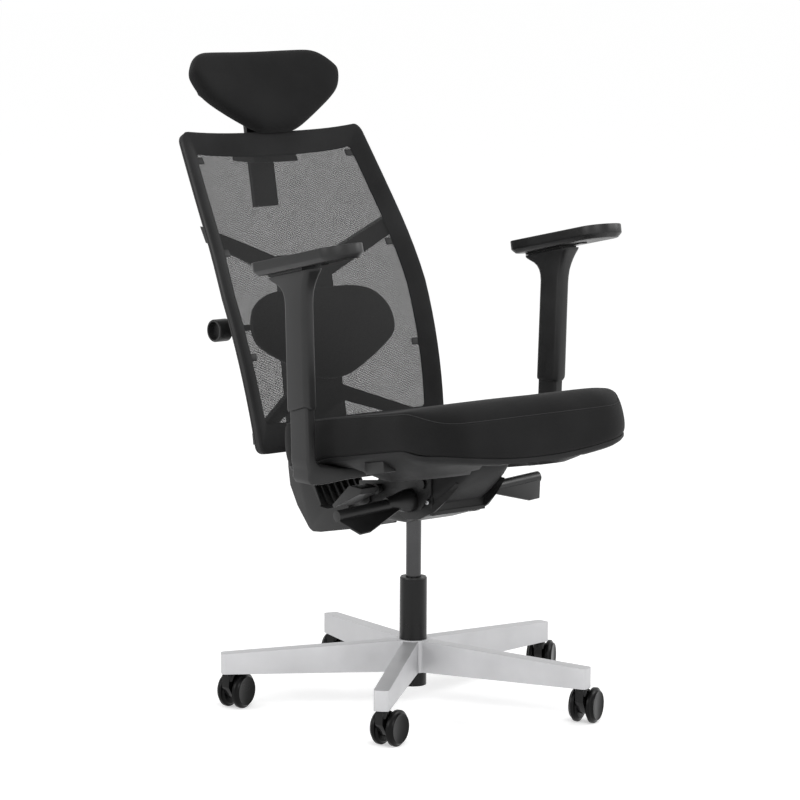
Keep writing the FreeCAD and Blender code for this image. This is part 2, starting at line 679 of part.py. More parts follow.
shell = new_body("seat_shell")
pad(shell, "XY_Plane",
    [("-shell_half", "shell_front + 60"), ("-shell_half + 70", "shell_front"),
     ("shell_half - 70", "shell_front"), ("shell_half", "shell_front + 60"),
     ("shell_half", "shell_rear - 50"), ("shell_half - 60", "shell_rear"),
     ("-shell_half + 60", "shell_rear"), ("-shell_half", "shell_rear - 50")], "0", "shell_thick")
# two lobes under the shell's front, outside the slide rails
for side, low in ((-1, "-shell_half + 4"), (1, "carrier_half + 2")):
    pad(shell, "YZ_Plane", [("-lobe_rear", "1"), ("-lobe_rear", "-lobe_deep"), ("-lobe_front", "-lobe_deep"),
                            ("-lobe_front - 78", "1")], low, "shell_half - carrier_half - 6")
    carve(shell, "XZ_Plane", [("%d * (shell_half + 1)" % side, "-0.5"), ("%d * (shell_half + 1)" % side, "-lobe_deep - 1"),
                              ("%d * 150" % side, "-lobe_deep - 1")], "lobe_rear - 10", "lobe_front + 78 - lobe_rear + 20",
          backward=False)
carve(shell, "XY_Plane",
      [("-shell_half - 1", "-handle_y - 29"), ("-shell_half + 26", "-handle_y - 29"),
       ("-shell_half + 26", "-handle_y + 29"), ("-shell_half - 1", "-handle_y + 29")],
      "shell_thick - 4", "shell_thick + lobe_deep")
place(shell, *SEAT, rotation=tilted("seat_tilt"))
keep(shell)

handle = new_body("slide_handle")
pad(handle, "XY_Plane",
    [("-shell_half - 4", "-handle_y - 26"), ("-shell_half + 23", "-handle_y - 26"),
     ("-shell_half + 23", "-handle_y + 26"), ("-shell_half - 4", "-handle_y + 26")],
    "-14", "shell_thick - 4.5 + 14")
place(handle, *SEAT, rotation=tilted("seat_tilt"))
keep(handle)

cushion = new_body("seat_cushion")
pad(cushion, "YZ_Plane",
    [("cushion_front + 20", "shell_thick + seat_gap"), ("cushion_front", "shell_thick + 20"),
     ("cushion_front + 4", "cushion_nose"), ("cushion_front + 40", "cushion_high - 12"),
     ("-160", "cushion_high"), ("cushion_rear - 60", "cushion_high"), ("cushion_rear", "cushion_high - 14"),
     ("cushion_rear - 8", "shell_thick + seat_gap")],
    "-cushion_half", "2 * cushion_half")
carve(cushion, "XY_Plane",
      [("-cushion_half - 1", "cushion_front - 1"), ("-cushion_half + cushion_corner", "cushion_front - 1"),
       ("-cushion_half - 1", "cushion_front + cushion_corner")], "150", "200")
carve(cushion, "XY_Plane",
      [("cushion_half + 1", "cushion_front - 1"), ("cushion_half - cushion_corner", "cushion_front - 1"),
       ("cushion_half + 1", "cushion_front + cushion_corner")], "150", "200")
carve(cushion, "XY_Plane",
      [("-cushion_half - 1", "cushion_rear + 1"), ("-cushion_half + cushion_corner", "cushion_rear + 1"),
       ("-cushion_half - 1", "cushion_rear - cushion_corner")], "150", "200")
carve(cushion, "XY_Plane",
      [("cushion_half + 1", "cushion_rear + 1"), ("cushion_half - cushion_corner", "cushion_rear + 1"),
       ("cushion_half + 1", "cushion_rear - cushion_corner")], "150", "200")
place(cushion, *SEAT, rotation=tilted("seat_tilt"))
keep(cushion)


# ---------------------------------------------------------------- arms, drawn on the left and mirrored
# Everything above the bar shares one frame: the foot of the post, leaning outwards.
ARM = ("arm_span", "arm_y", "arm_z")
ARM_TURN = FreeCAD.Rotation(Y, number("arm_splay"))
HEAD_PLACE = ("arm_span + sleeve_high * sin(arm_splay)", "arm_y", "arm_z + sleeve_high * cos(arm_splay)")
HEAD_TURN = ARM_TURN * tilted("pad_tilt")


def rounded_corners(left, right, low, high, r_low, r_high):
    """Points of a rectangle with one radius at its lower corners and another at its upper ones."""
    return [
        ("%s + %s" % (left, r_low), low, "-" + r_low), ("%s - %s" % (right, r_low), low),
        (right, "%s + %s" % (low, r_low), "-" + r_low), (right, "%s - %s" % (high, r_high)),
        ("%s - %s" % (right, r_high), high, "-" + r_high), ("%s + %s" % (left, r_high), high),
        (left, "%s - %s" % (high, r_high), "-" + r_high), (left, "%s + %s" % (low, r_low)),
    ]


def rounded_box(body, half_across, half_up, corner, low, length):
    """A pad with a rounded rectangle section on the XY plane."""
    sketch = new_sketch(body, "XY_Plane", low)
    a, b, r = half_across, half_up, corner
    outline(sketch, rounded_corners("-" + a, a, "-" + b, b, r, r))
    return feature(body, "Pad", sketch, length)


def arm_bracket(label):
    """The L-shaped arm support: a bar under the seat that turns up into the post."""
    bar = new_body(label + "_bar")
    pad(
        bar,
        "XZ_Plane",
        [("tongue_end", "-carrier_thick - seat_gap - tongue_thick - 0.2"),
         ("carrier_half - 8", "-carrier_thick - seat_gap - tongue_thick - 0.2"), ("carrier_half + 18", "bar_low"),
         ("arm_span + post_wide / 2 - 10", "bar_low"), ("arm_span + post_wide / 2", "bar_low + 10", "-10"),
         ("arm_span + post_wide / 2", "12"), ("arm_span - post_wide / 2 - 14", "12"),
         ("arm_span - post_wide / 2 - 34", "-0.6"), ("carrier_half + 0.4", "-0.6"),
         ("carrier_half + 0.4", "-carrier_thick - seat_gap - 0.2"),
         ("tongue_end", "-carrier_thick - seat_gap - 0.2")],
        "-post_deep / 2 - 4",
        "post_deep",
    )
    drill(bar, "XY_Plane", [("tongue_end + 17", depth, "4.2") for depth in SCREW_DEPTHS], "0", "60")
    place(bar, *SEAT, rotation=tilted("seat_tilt"))
    post = new_body(label + "_post")
    rounded_box(post, "post_wide / 2", "post_deep / 2", "6", "-6", "post_high + 6")
    place(post, *ARM, rotation=ARM_TURN)
    joined = doc.addObject("Part::Fuse", label)
    joined.Base = bar
    joined.Tool = post
    joined.Label = label
    return joined


def arm_sleeve(label):
    """The sleeve that slides on the post and flares into the pad's support."""
    sleeve = new_body(label)
    slope = "tan(pad_tilt)"
    pad(
        sleeve,
        "YZ_Plane",
        [("-sleeve_deep / 2", "sleeve_low"), ("sleeve_deep / 2", "sleeve_low"),
         ("sleeve_deep / 2", "sleeve_high - 44"), ("flare_rear - 22", "sleeve_high - 25", "40"),
         ("flare_rear", "sleeve_high - 3 - flare_rear * " + slope),
         ("flare_rear", "sleeve_high - flare_rear * " + slope),
         ("flare_front", "sleeve_high - flare_front * " + slope),
         ("flare_front", "sleeve_high - 3 - flare_front * " + slope),
         ("-sleeve_deep / 2", "sleeve_high - 16")],
        "-sleeve_wide / 2",
        "sleeve_wide",
    )
    sketch = new_sketch(sleeve, "XY_Plane", "sleeve_low")
    a, b = "(post_wide / 2 + slide_gap)", "(post_deep / 2 + slide_gap)"
    outline(sketch, [("-" + a, "-" + b), (a, "-" + b), (a, b), ("-" + a, b)])
    cut = feature(sleeve, "Pocket", sketch, "sleeve_high - sleeve_low - 16")
    cut.Reversed = True
    carve(sleeve, "XZ_Plane", [("-5.5", "sleeve_low + 88"), ("5.5", "sleeve_low + 88"),
                               ("5.5", "sleeve_low + 112"), ("-5.5", "sleeve_low + 112")],
          "-sleeve_deep / 2 - 5", "7.5", backward=False)
    return place(sleeve, *ARM, rotation=ARM_TURN)


def height_button(label):
    """The latch button in the sleeve's rear edge."""
    button = new_body(label)
    pad(button, "XZ_Plane", [("-5", "sleeve_low + 88.5"), ("5", "sleeve_low + 88.5"),
                             ("5", "sleeve_low + 111.5"), ("-5", "sleeve_low + 111.5")],
        "-sleeve_deep / 2 - 2", "2.2")
    return place(button, *ARM, rotation=ARM_TURN)


def pad_plate(label):
    plate = new_body(label)
    pad(plate, "XY_Plane", [("-sleeve_wide / 2 - 6", "flare_front + 12"), ("sleeve_wide / 2 + 6", "flare_front + 12"),
                            ("sleeve_wide / 2 + 6", "flare_rear - 6"), ("-sleeve_wide / 2 - 6", "flare_rear - 6")],
        "seat_gap", "pad_base - seat_gap - 0.4")
    return place(plate, *HEAD_PLACE, rotation=HEAD_TURN)


def arm_pad(label):
    """The pad: a bevelled base and an upright wall, rounded at its corners."""
    body = new_body(label)
    sketch = new_sketch(body, "XY_Plane", "pad_base")
    outline(sketch, rounded_corners("-pad_width / 2", "pad_width / 2", "pad_front", "pad_rear",
                                    "pad_front_corner", "pad_corner"))
    feature(body, "Pad", sketch, "pad_bevel + pad_wall")
    doc.recompute()
    whole = body.Tip
    low = number("pad_base")
    names = ["Edge%d" % (i + 1) for i, edge in enumerate(whole.Shape.Edges) if edge.BoundBox.ZMax < low + 0.1]
    bevel = body.newObject("PartDesign::Chamfer", label + "_bevel")
    bevel.Base = (whole, names)
    bevel.setExpression("Size", bind("pad_bevel"))
    carve(body, "XY_Plane", [("-8.4", "-78.4"), ("8.4", "-78.4"), ("8.4", "-61.6"), ("-8.4", "-61.6")],
          "0", "pad_base + 5", backward=False)
    return place(body, *HEAD_PLACE, rotation=HEAD_TURN)


def pad_button(label):
    button = new_body(label)
    pad(button, "XY_Plane", [("-8", "-78"), ("8", "-78"), ("8", "-62"), ("-8", "-62")],
        "pad_base - 2.4", "4.6")
    return place(button, *HEAD_PLACE, rotation=HEAD_TURN)


for name, build in (("arm_bracket", arm_bracket), ("arm_sleeve", arm_sleeve), ("arm_height_button", height_button),
                    ("pad_plate", pad_plate), ("arm_pad", arm_pad), ("arm_pad_button", pad_button)):
    left_one = build(name + "_left")
    keep(left_one)
    keep(mirrored(name + "_right", left_one))

# ---------------------------------------------------------------- back
CENTRE_Y = "(back_low_y + back_radius * cos(lean_low))"
CENTRE_Z = "(back_low_z - back_radius * sin(lean_low))"


def back_y(offset, lean):
    return "%s - (back_radius - (%s)) * cos(%s)" % (CENTRE_Y, offset, lean)


def back_z(offset, lean):
    return "%s + (back_radius - (%s)) * sin(%s)" % (CENTRE_Z, offset, lean)


# straight run from the end of the curve to the upper edge
TOP_RUN = "((back_top_z - %s) / cos(lean_high))" % back_z("0", "lean_high")


def slab(body, front, rear, low, length):
    """A layer that follows the back between two depths behind its curve."""
    points = [
        (back_y(front, "lean_low"), back_z(front, "lean_low")),
        (back_y(front, "lean_high"), back_z(front, "lean_high"), "back_radius - (%s)" % front),
        (back_y(front, "lean_high") + " + %s * sin(lean_high)" % TOP_RUN,
         back_z(front, "lean_high") + " + %s * cos(lean_high)" % TOP_RUN),
        (back_y(rear, "lean_high") + " + %s * sin(lean_high)" % TOP_RUN,
         back_z(rear, "lean_high") + " + %s * cos(lean_high)" % TOP_RUN),
        (back_y(rear, "lean_high"), back_z(rear, "lean_high")),
        (back_y(rear, "lean_low"), back_z(rear, "lean_low"), "-(back_radius - (%s))" % rear),
    ]
    return pad(body, "YZ_Plane", points, low, length)


def slab_height(z, offset):
    """Depth of the back's layer at a height, as numbers."""
    radius = number("back_radius") - number(offset)
    rise = number(z) - number(CENTRE_Z)
    if rise < radius * math.sin(math.radians(number("lean_high"))):
        return number(CENTRE_Y) - math.sqrt(radius ** 2 - rise ** 2)
    lean = math.radians(number("lean_high"))
    return number(CENTRE_Y) - radius * math.cos(lean) + (rise - radius * math.sin(lean)) * math.tan(lean)


def back_outline(side, end):
    """Front outline of the back, drawn in by one width at the sides and another at the ends."""
    low, top = "(back_low_z + %s)" % end, "(back_top_z - %s)" % end
    return [
        ("-(back_half_low - %s)" % side, low, "-side_curve_low"), ("back_half_low - " + side, low),
        ("back_half_mid - " + side, "back_wide_z", "-side_curve_low"),
        ("back_half_top - " + side, top, "-side_curve_top"),
        ("-(back_half_top - %s)" % side, top),
        ("-(back_half_mid - %s)" % side, "back_wide_z", "-side_curve_top"),
    ]


def back_layer(label, front, rear, inset, window):
    """A layer of the back trimmed to its outline, with or without the rim's window."""
    full = new_body(label + "_layer")
    slab(full, front, rear, "-280", "560")
    shape = new_body(label + "_outline")
    pad(shape, "XZ_Plane", back_outline(inset, inset), "-600", "520")
    if window:
        carve(shape, "XZ_Plane", back_outline("rim_side", "rim_top"), "0", "through")
    round_edges(shape, "back_corner", lambda edge: along(edge, Y) and abs(edge.CenterOfMass.x) > number(
        "back_half_top - mesh_inset - 2") and abs(edge.CenterOfMass.z - number("back_wide_z")) > 200)
    trimmed = doc.addObject("Part::Common", label)
    trimmed.Base = full
    trimmed.Tool = shape
    trimmed.Label = label
    return trimmed


keep(back_layer("back_mesh", "rim_half_depth + seat_gap", "rim_half_depth + seat_gap + mesh_thick", "mesh_inset", False))
keep(back_layer("back_rim", "-rim_half_depth", "rim_half_depth", "0", True))
BEHIND_MESH = "rim_half_depth + 2 * seat_gap + mesh_thick"

spine_plate = new_body("spine_plate")
pad(spine_plate, "YZ_Plane",
    [("266", "470"), ("284", "560"), ("300", "680"), ("326", "806"),
     ("326 + spine_thick", "802"), ("300 + spine_thick", "679"), ("284 + spine_thick", "559"),
     ("266 + spine_thick", "468")],
    "-spine_half", "2 * spine_half")
pad(spine_plate, "YZ_Plane", [("306", "lumbar_z - 15"), ("knob_y + 20", "lumbar_z - 9"), ("knob_y + 24", "lumbar_z"),
                              ("knob_y + 20", "lumbar_z + 9"), ("308", "lumbar_z + 15")], "-spine_half", "24")
drill(spine_plate, "YZ_Plane", [("knob_y + 12", "lumbar_z", "6 + run_gap")], "0", "through")
drill(spine_plate, "XZ_Plane", [("0", "lumbar_z", "lumbar_screw_radius + run_gap")], "0", "through")


def spine_arm(label, inner_low, inner_high, inner_y, outer_low, outer_high, outer_x):
    """A bar from the spine forward to the rim, as a loft between its two ends."""
    inner_x = number("spine_half - 8")
    reach = number(outer_x)
    ends = []
    for across, low, high, depths in (
        (inner_x, inner_low, inner_high, (inner_y[0], inner_y[1])),
        (reach, outer_low, outer_high, (slab_height(outer_low, BEHIND_MESH),
                                        slab_height(outer_high, BEHIND_MESH))),
    ):
        thick = number("spine_thick")
        corners = [Vector(across, depths[0], low), Vector(across, depths[1], high),
                   Vector(across, depths[1] + thick, high), Vector(across, depths[0] + thick, low)]
        ends.append(Part.makePolygon(corners + corners[:1]))
    arm = doc.addObject("Part::Feature", label)
    arm.Shape = Part.makeLoft(ends, True, True)
    return arm


arms = []
for name, sizes in (
    ("upper", (760, 800, (316.2, 324.6), 839, 868, "back_half_mid - 16")),
    ("lower", (530, 560, (278.0, 284.0), 478, 498, "back_half_low - 10")),
):
    arm = spine_arm(name + "_arm_left", *sizes)
    arms += [arm, mirrored(name + "_arm_right", arm)]
spine = doc.addObject("Part::MultiFuse", "back_spine")
spine.Shapes = [spine_plate] + arms
spine.Label = "back_spine"
keep(spine)

carrier_bar = new_body("back_carrier")
pad(carrier_bar, "YZ_Plane",
    [("118", "316"), ("200", "299"), ("222", "297"), ("240", "308", "-30"), ("270", "340"), ("292", "376"),
     ("298", "410"), ("301", "470"), ("315", "560"), ("326", "640"), ("323", "655"), ("311.2", "655"),
     ("298.4", "558.8"), ("280.4", "467.8"), ("268", "430"), ("240", "395"), ("200", "347"), ("180", "346"), ("118", "362")],
    "-carrier_bar_half", "2 * carrier_bar_half")
pad(carrier_bar, "YZ_Plane",
    [("recline_y - 17", "recline_z - 8"), ("recline_y", "recline_z - 19"), ("119", "316"), ("119", "362"),
     ("recline_y + 14", "recline_z + 17"), ("recline_y - 6", "recline_z + 17"), ("recline_y - 17", "recline_z + 8")],
    "-nose_half", "2 * nose_half")
drill(carrier_bar, "YZ_Plane", [("recline_y", "recline_z", "pin_radius + run_gap")], "0", "through")
keep(carrier_bar)

# ---------------------------------------------------------------- lumbar support
lumbar_layer = new_body("lumbar_layer")
slab(lumbar_layer, "lumbar_gap", "(lumbar_gap + lumbar_thick)", "-lumbar_half - 10", "2 * lumbar_half + 20")
lumbar_outline = new_body("lumbar_outline")
SHIELD = [(28, 592), (92, 622), (150, 655), (172, 690), (150, 738), (112, 758)]
pad(lumbar_outline, "XZ_Plane",
    [(str(x), "lumbar_z + %d" % (z - 676)) for x, z in SHIELD]
    + [(str(-x), "lumbar_z + %d" % (z - 676)) for x, z in reversed(SHIELD)],
    "-400", "300")
lumbar_trim = doc.addObject("Part::Common", "lumbar_trim")
lumbar_trim.Base = lumbar_layer
lumbar_trim.Tool = lumbar_outline
lumbar_shaft = turned("lumbar_shaft", [("0", "0"), ("lumbar_screw_radius", "0"), ("lumbar_screw_radius", "53"), ("0", "53")])
place(lumbar_shaft, "0", back_y("lumbar_gap + lumbar_thick - 4", "20.5"), "lumbar_z", FreeCAD.Rotation(X, -90))
lumbar = doc.addObject("Part::Fuse", "lumbar_pad")
lumbar.Base = lumbar_trim
lumbar.Tool = lumbar_shaft
lumbar.Label = "lumbar_pad"
keep(lumbar)

knob = turned("lumbar_knob", [
    ("0", "12"), ("knob_radius - 4", "12"), ("knob_radius - 4", "0"), ("knob_radius - 1", "0"),
    ("knob_radius", "2"), ("knob_radius", "knob_length"), ("6", "knob_length"),
    ("6", "knob_end - 16"), ("0", "knob_end - 16"),
])
place(knob, "-knob_end", "knob_y + 12", "lumbar_z", FreeCAD.Rotation(Y, 90))
keep(knob)

# ---------------------------------------------------------------- headrest
STEM = ("0", "stem_y", "stem_z")
stem = new_body("headrest_stem")
pad(stem, "XZ_Plane", [("-stem_wide / 2", "-stem_down"), ("stem_wide / 2", "-stem_down"),
                       ("stem_wide / 2", "hinge_up - 26"), ("16.5", "hinge_up - 10"), ("16.5", "hinge_up"),
                       ("-16.5", "hinge_up"), ("-16.5", "hinge_up - 10"), ("-stem_wide / 2", "hinge_up - 26")],
    "-stem_thick / 2", "stem_thick")
pad_round(stem, "YZ_Plane", "0", "hinge_up", "8", "-16.5", "33")
drill(stem, "YZ_Plane", [("0", "hinge_up", "hinge_pin + run_gap")], "0", "through")
place(stem, *STEM, rotation=tilted("stem_lean"))

slot_half_x, slot_half_y = "(stem_wide / 2 + slide_gap)", "(stem_thick / 2 + slide_gap)"
bracket_block = new_body("bracket_block")
pad(bracket_block, "YZ_Plane",
    [("%g" % slab_height("stem_z - 12", BEHIND_MESH), "stem_z - 12"), ("stem_y + 18", "stem_z - 12"),
     ("stem_y + 24", "stem_z + 16"), ("%g" % slab_height("stem_z + 16", BEHIND_MESH), "stem_z + 16")],
    "-52", "104")
bracket_slot = new_body("bracket_slot")
pad(bracket_slot, "XY_Plane", [("-" + slot_half_x, "-" + slot_half_y), (slot_half_x, "-" + slot_half_y),
                               (slot_half_x, slot_half_y), ("-" + slot_half_x, slot_half_y)], "-60", "120")
place(bracket_slot, *STEM, rotation=tilted("stem_lean"))
bracket = doc.addObject("Part::Cut", "headrest_bracket")
bracket.Base = bracket_block
bracket.Tool = bracket_slot
bracket.Label = "headrest_bracket"
keep(bracket)
keep(stem)

HEADREST = ("0", "head_y", "head_z")
WING = [("125", "78"), ("148", "69"), ("head_half", "38"), ("head_half - 4", "-2"), ("148", "-18"), ("90", "-52"),
        ("45", "-78"), ("30", "-82")]


def wing_outline(inset):
    right = [("%s - %g" % (x, inset), "%s * (1 - %g / 82)" % (z, inset)) for x, z in WING]
    return right + [("-(%s)" % x, z) for x, z in reversed(right)]


def wing_layer(label, front, rear, inset):
    """A layer of the headrest, curved forward at its sides and trimmed to the wing outline."""
    band = new_body(label + "_band")
    half = "(head_half + 12)"

    def depth(offset):
        return "-head_curve + sqrt((head_curve + (%s)) ^ 2 - %s ^ 2)" % (offset, half)

    pad(band, "XY_Plane",
        [("-" + half, depth(front)), (half, depth(front), "head_curve + (%s)" % front),
         (half, depth(rear)), ("-" + half, depth(rear), "-(head_curve + (%s))" % rear)], "-90", "180")
    trim = new_body(label + "_trim")
    pad(trim, "XZ_Plane", wing_outline(inset), "-80", "160")
    layer = doc.addObject("Part::Common", label)
    layer.Base = band
    layer.Tool = trim
    layer.Label = label
    return layer


head_pad = wing_layer("headrest_pad", "-head_thick / 2", "head_thick / 2", 0)
place(head_pad, *HEADREST, rotation=tilted("head_lean"))
keep(head_pad)

# hinge position in the headrest's own leaning axes
HINGE_Y = "stem_y + hinge_up * sin(stem_lean)"
HINGE_Z = "stem_z + hinge_up * cos(stem_lean)"
LUG_Y = "((%s - head_y) * cos(head_lean) - (%s - head_z) * sin(head_lean))" % (HINGE_Y, HINGE_Z)
LUG_Z = "((%s - head_y) * sin(head_lean) + (%s - head_z) * cos(head_lean))" % (HINGE_Y, HINGE_Z)
lugs = new_body("headrest_lugs")
for low in ("-27", "17"):
    pad(lugs, "YZ_Plane",
        [("head_thick / 2 + seat_gap + 2", LUG_Z + " - 14"), (LUG_Y, LUG_Z + " - 8"),
         (LUG_Y + " + 8", LUG_Z, "-8"), (LUG_Y, LUG_Z + " + 8", "-8"),
         ("head_thick / 2 + seat_gap + 2", LUG_Z + " + 14")], low, "10")
drill(lugs, "YZ_Plane", [(LUG_Y, LUG_Z, "hinge_pin + press_gap")], "0", "through")
head_shell = doc.addObject("Part::Fuse", "headrest_shell")
head_shell.Base = wing_layer("shell_layer", "head_thick / 2 + seat_gap", "head_thick / 2 + seat_gap + head_shell", 14)
head_shell.Tool = lugs
head_shell.Label = "headrest_shell"
place(head_shell, *HEADREST, rotation=tilted("head_lean"))
keep(head_shell)
pin = turned("headrest_pin", [("0", "-28"), ("hinge_pin", "-28"), ("hinge_pin", "28"), ("0", "28")])
place(pin, "0", HINGE_Y, HINGE_Z, FreeCAD.Rotation(Y, 90))
keep(pin)

# ---------------------------------------------------------------- fasteners
def screw(shank, length, head, thick):
    """A screw with its head at the origin and its shank along +Z."""
    return turned("screw", [("0", "0"), (head, "0"), (head, thick), (shank, thick), (shank, length), ("0", length)])


arm_screws = []
head_low = "(-carrier_thick - seat_gap - tongue_thick - 0.3 - 4.5)"
for side in (-1, 1):
    for depth in SCREW_DEPTHS:
        bolt = screw("4", "tongue_thick + 12.6", "6.5", "4.5")
        place(bolt, "%d * (tongue_end + 17)" % side,
              "seat_y + (%s) * cos(seat_tilt) + %s * sin(seat_tilt)" % (depth, head_low),
              "seat_z - (%s) * sin(seat_tilt) + %s * cos(seat_tilt)" % (depth, head_low),
              tilted("seat_tilt"))
        arm_screws.append(bolt)
keep(group("arm_screws", arm_screws))

# ---------------------------------------------------------------- check and write
doc.recompute()
faults = [item.Label for item in doc.Objects if "Invalid" in item.State or "Error" in item.State]
faults += [item.Label for item in kept if item.Shape.isNull() or not item.Shape.isValid()]
if faults:
    raise SystemExit("not built: " + ", ".join(faults))
for item in kept:
    item.Shape.exportStep("parts/%s.step" % item.Label)
print(len(kept), "sub-parts written")
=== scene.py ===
# %% [markdown]
# # Swivel office chair, looks
#
# The chair's shapes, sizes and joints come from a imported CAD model.  This script loads that
# model as a fixed frame and gives every visible piece its finished shape and finish.  All
# lengths are metres; helpers take millimetres where that is easier to read.

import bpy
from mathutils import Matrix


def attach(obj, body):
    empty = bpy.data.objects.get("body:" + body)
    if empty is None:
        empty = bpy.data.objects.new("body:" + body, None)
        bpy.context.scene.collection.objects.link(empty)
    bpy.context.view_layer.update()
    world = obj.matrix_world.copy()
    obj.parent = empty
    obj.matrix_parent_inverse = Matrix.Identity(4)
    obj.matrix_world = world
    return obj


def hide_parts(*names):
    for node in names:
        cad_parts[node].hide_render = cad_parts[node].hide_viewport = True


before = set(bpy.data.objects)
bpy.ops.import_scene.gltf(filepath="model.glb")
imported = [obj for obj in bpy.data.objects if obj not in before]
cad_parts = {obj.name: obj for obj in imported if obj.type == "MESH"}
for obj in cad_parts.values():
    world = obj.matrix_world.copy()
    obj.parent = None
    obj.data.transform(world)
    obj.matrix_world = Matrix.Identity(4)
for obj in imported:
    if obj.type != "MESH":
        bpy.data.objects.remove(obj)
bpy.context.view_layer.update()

import math

import bpy
from mathutils import Matrix, Vector

# %% [markdown]
# ## Helpers for working as if by hand
#
# Operators act on whatever is selected.  So each step first clears the selection, then picks
# one object, and picks its faces or edges by their place or by the way they face.

# %% Selecting and finishing
MM = 0.001


def clear_selection():
    """Leave edit mode and select nothing."""
    if bpy.context.object and bpy.context.object.mode != "OBJECT":
        bpy.ops.object.mode_set(mode="OBJECT")
    bpy.ops.object.select_all(action="DESELECT")


def take(piece):
    """Make one piece the only selected and active one."""
    clear_selection()
    piece.select_set(True)
    bpy.context.view_layer.objects.active = piece


def edit(piece, *steps):
    """Run edit-mode operators on all of a piece."""
    take(piece)
    bpy.ops.object.mode_set(mode="EDIT")
    bpy.ops.mesh.select_all(action="SELECT")
    for step in steps:
        step()
    bpy.ops.object.mode_set(mode="OBJECT")


def modify(piece, kind, **settings):
    """Add a modifier, set it and apply it."""
    take(piece)
    modifier = piece.modifiers.new(kind.lower(), kind)
    for name, value in settings.items():
        setattr(modifier, name, value)
    bpy.ops.object.modifier_apply(modifier=modifier.name)
    return piece


def smooth(piece, angle=40):
    """Shade smoothly, but keep edges sharper than the angle, in degrees."""
    take(piece)
    bpy.ops.object.shade_smooth_by_angle(angle=math.radians(angle))


def outward():
    """Merge double points and turn all faces outwards; runs in edit mode."""
    bpy.ops.mesh.remove_doubles(threshold=0.00001)
    bpy.ops.mesh.normals_make_consistent(inside=False)


def moved(piece, matrix):
    """Put a piece in place through its mesh, so its object stays at the origin."""
    piece.data.transform(matrix)
    piece.data.update()
    return piece


def tilt(degrees, axis="X"):
    """A turn about an axis through the origin."""
    return Matrix.Rotation(math.radians(degrees), 4, axis)


def at(x, y, z):
    """A shift in millimetres."""
    return Matrix.Translation(Vector((x, y, z)) * MM)


# %% [markdown]
# ## Rolled grids
#
# Many pieces of the chair are a section that changes along a path: a lever, the headrest, the
# fabric border.  A grid is added with one column per ring and rolled up: each column of points
# is laid on its ring, and the seam is merged.  The ends are filled, or the last ring is joined
# to the first to close a loop.

# %% Rolling a grid into a piece
def rolled(name, rings, join_rings=False):
    """A skin over rings of points in millimetres; every ring has the same number of points.

    The ends are filled, unless the last ring is joined to the first one.
    """
    count = len(rings[0])
    rows = rings + rings[:1] if join_rings else rings
    clear_selection()
    bpy.ops.mesh.primitive_grid_add(x_subdivisions=count, y_subdivisions=len(rows) - 1, size=1)
    piece = bpy.context.object
    piece.name = name
    columns = count + 1
    for row, ring in enumerate(rows):
        for column in range(columns):
            piece.data.vertices[row * columns + column].co = Vector(ring[column % count]) * MM
    edit(piece, lambda: bpy.ops.mesh.remove_doubles(threshold=0.00001))
    if not join_rings:
        take(piece)
        bpy.ops.object.mode_set(mode="EDIT")
        bpy.ops.mesh.select_all(action="DESELECT")
        bpy.ops.mesh.select_mode(type="EDGE")
        bpy.ops.mesh.select_non_manifold()
        bpy.ops.mesh.fill_holes(sides=0)
        bpy.ops.mesh.select_mode(type="FACE")
        bpy.ops.object.mode_set(mode="OBJECT")
    edit(piece, outward)
    return piece


# %% [markdown]
# ## Rounded copies of CAD pieces
#
# Moulded and cast pieces have no razor edges.  A copy of the CAD mesh is merged, its flat
# triangles are dissolved into whole faces, and a bevel modifier rounds each real edge.

# %% Rounding and dressing a piece
SOFT_SEGMENTS, SOFT_ANGLE, FLAT_ANGLE = 3, 28, 1.5


def softened(node, width):
    """A copy of a CAD node with its loose triangles merged to faces and its edges rounded."""
    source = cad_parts[node]
    piece = bpy.data.objects.new(node + "_skin", source.data.copy())
    bpy.context.scene.collection.objects.link(piece)
    edit(
        piece,
        lambda: bpy.ops.mesh.remove_doubles(threshold=0.00002),
        lambda: bpy.ops.mesh.dissolve_limited(angle_limit=math.radians(FLAT_ANGLE)),
    )
    modify(piece, "BEVEL", width=width * MM, segments=SOFT_SEGMENTS, limit_method="ANGLE",
           angle_limit=math.radians(SOFT_ANGLE), harden_normals=False, use_clamp_overlap=True)
    smooth(piece, 38)
    return piece


def measured(piece):
    """Print a finished piece's name, size in millimetres and number of faces."""
    points = [corner.co for corner in piece.data.vertices]
    spans = [[point[axis] for point in points] for axis in range(3)]
    size = " x ".join(str(round((max(span) - min(span)) / MM)) for span in spans)
    print(piece.name, "is", size, "mm,", len(piece.data.polygons), "faces")


def dress(piece, body, slot, material, *nodes):
    """Give a piece its body and material, and hide the CAD nodes that it stands for; slot is not used."""
    measured(piece)
    piece.data.materials.clear()
    piece.data.materials.append(material)
    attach(piece, body)
    if nodes:
        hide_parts(*nodes)
    return piece


def mirrored(piece, name):
    """A copy on the other side of the chair."""
    twin = bpy.data.objects.new(name, piece.data.copy())
    bpy.context.scene.collection.objects.link(twin)
    twin.data.transform(Matrix.Scale(-1, 4, Vector((1, 0, 0))))
    edit(twin, lambda: bpy.ops.mesh.flip_normals())
    return twin


# %% [markdown]
# ## Camera
#
# A long lens far away keeps the chair's lines almost parallel.  The camera stands at the
# chair's front right, a little above seat height, and looks slightly down.

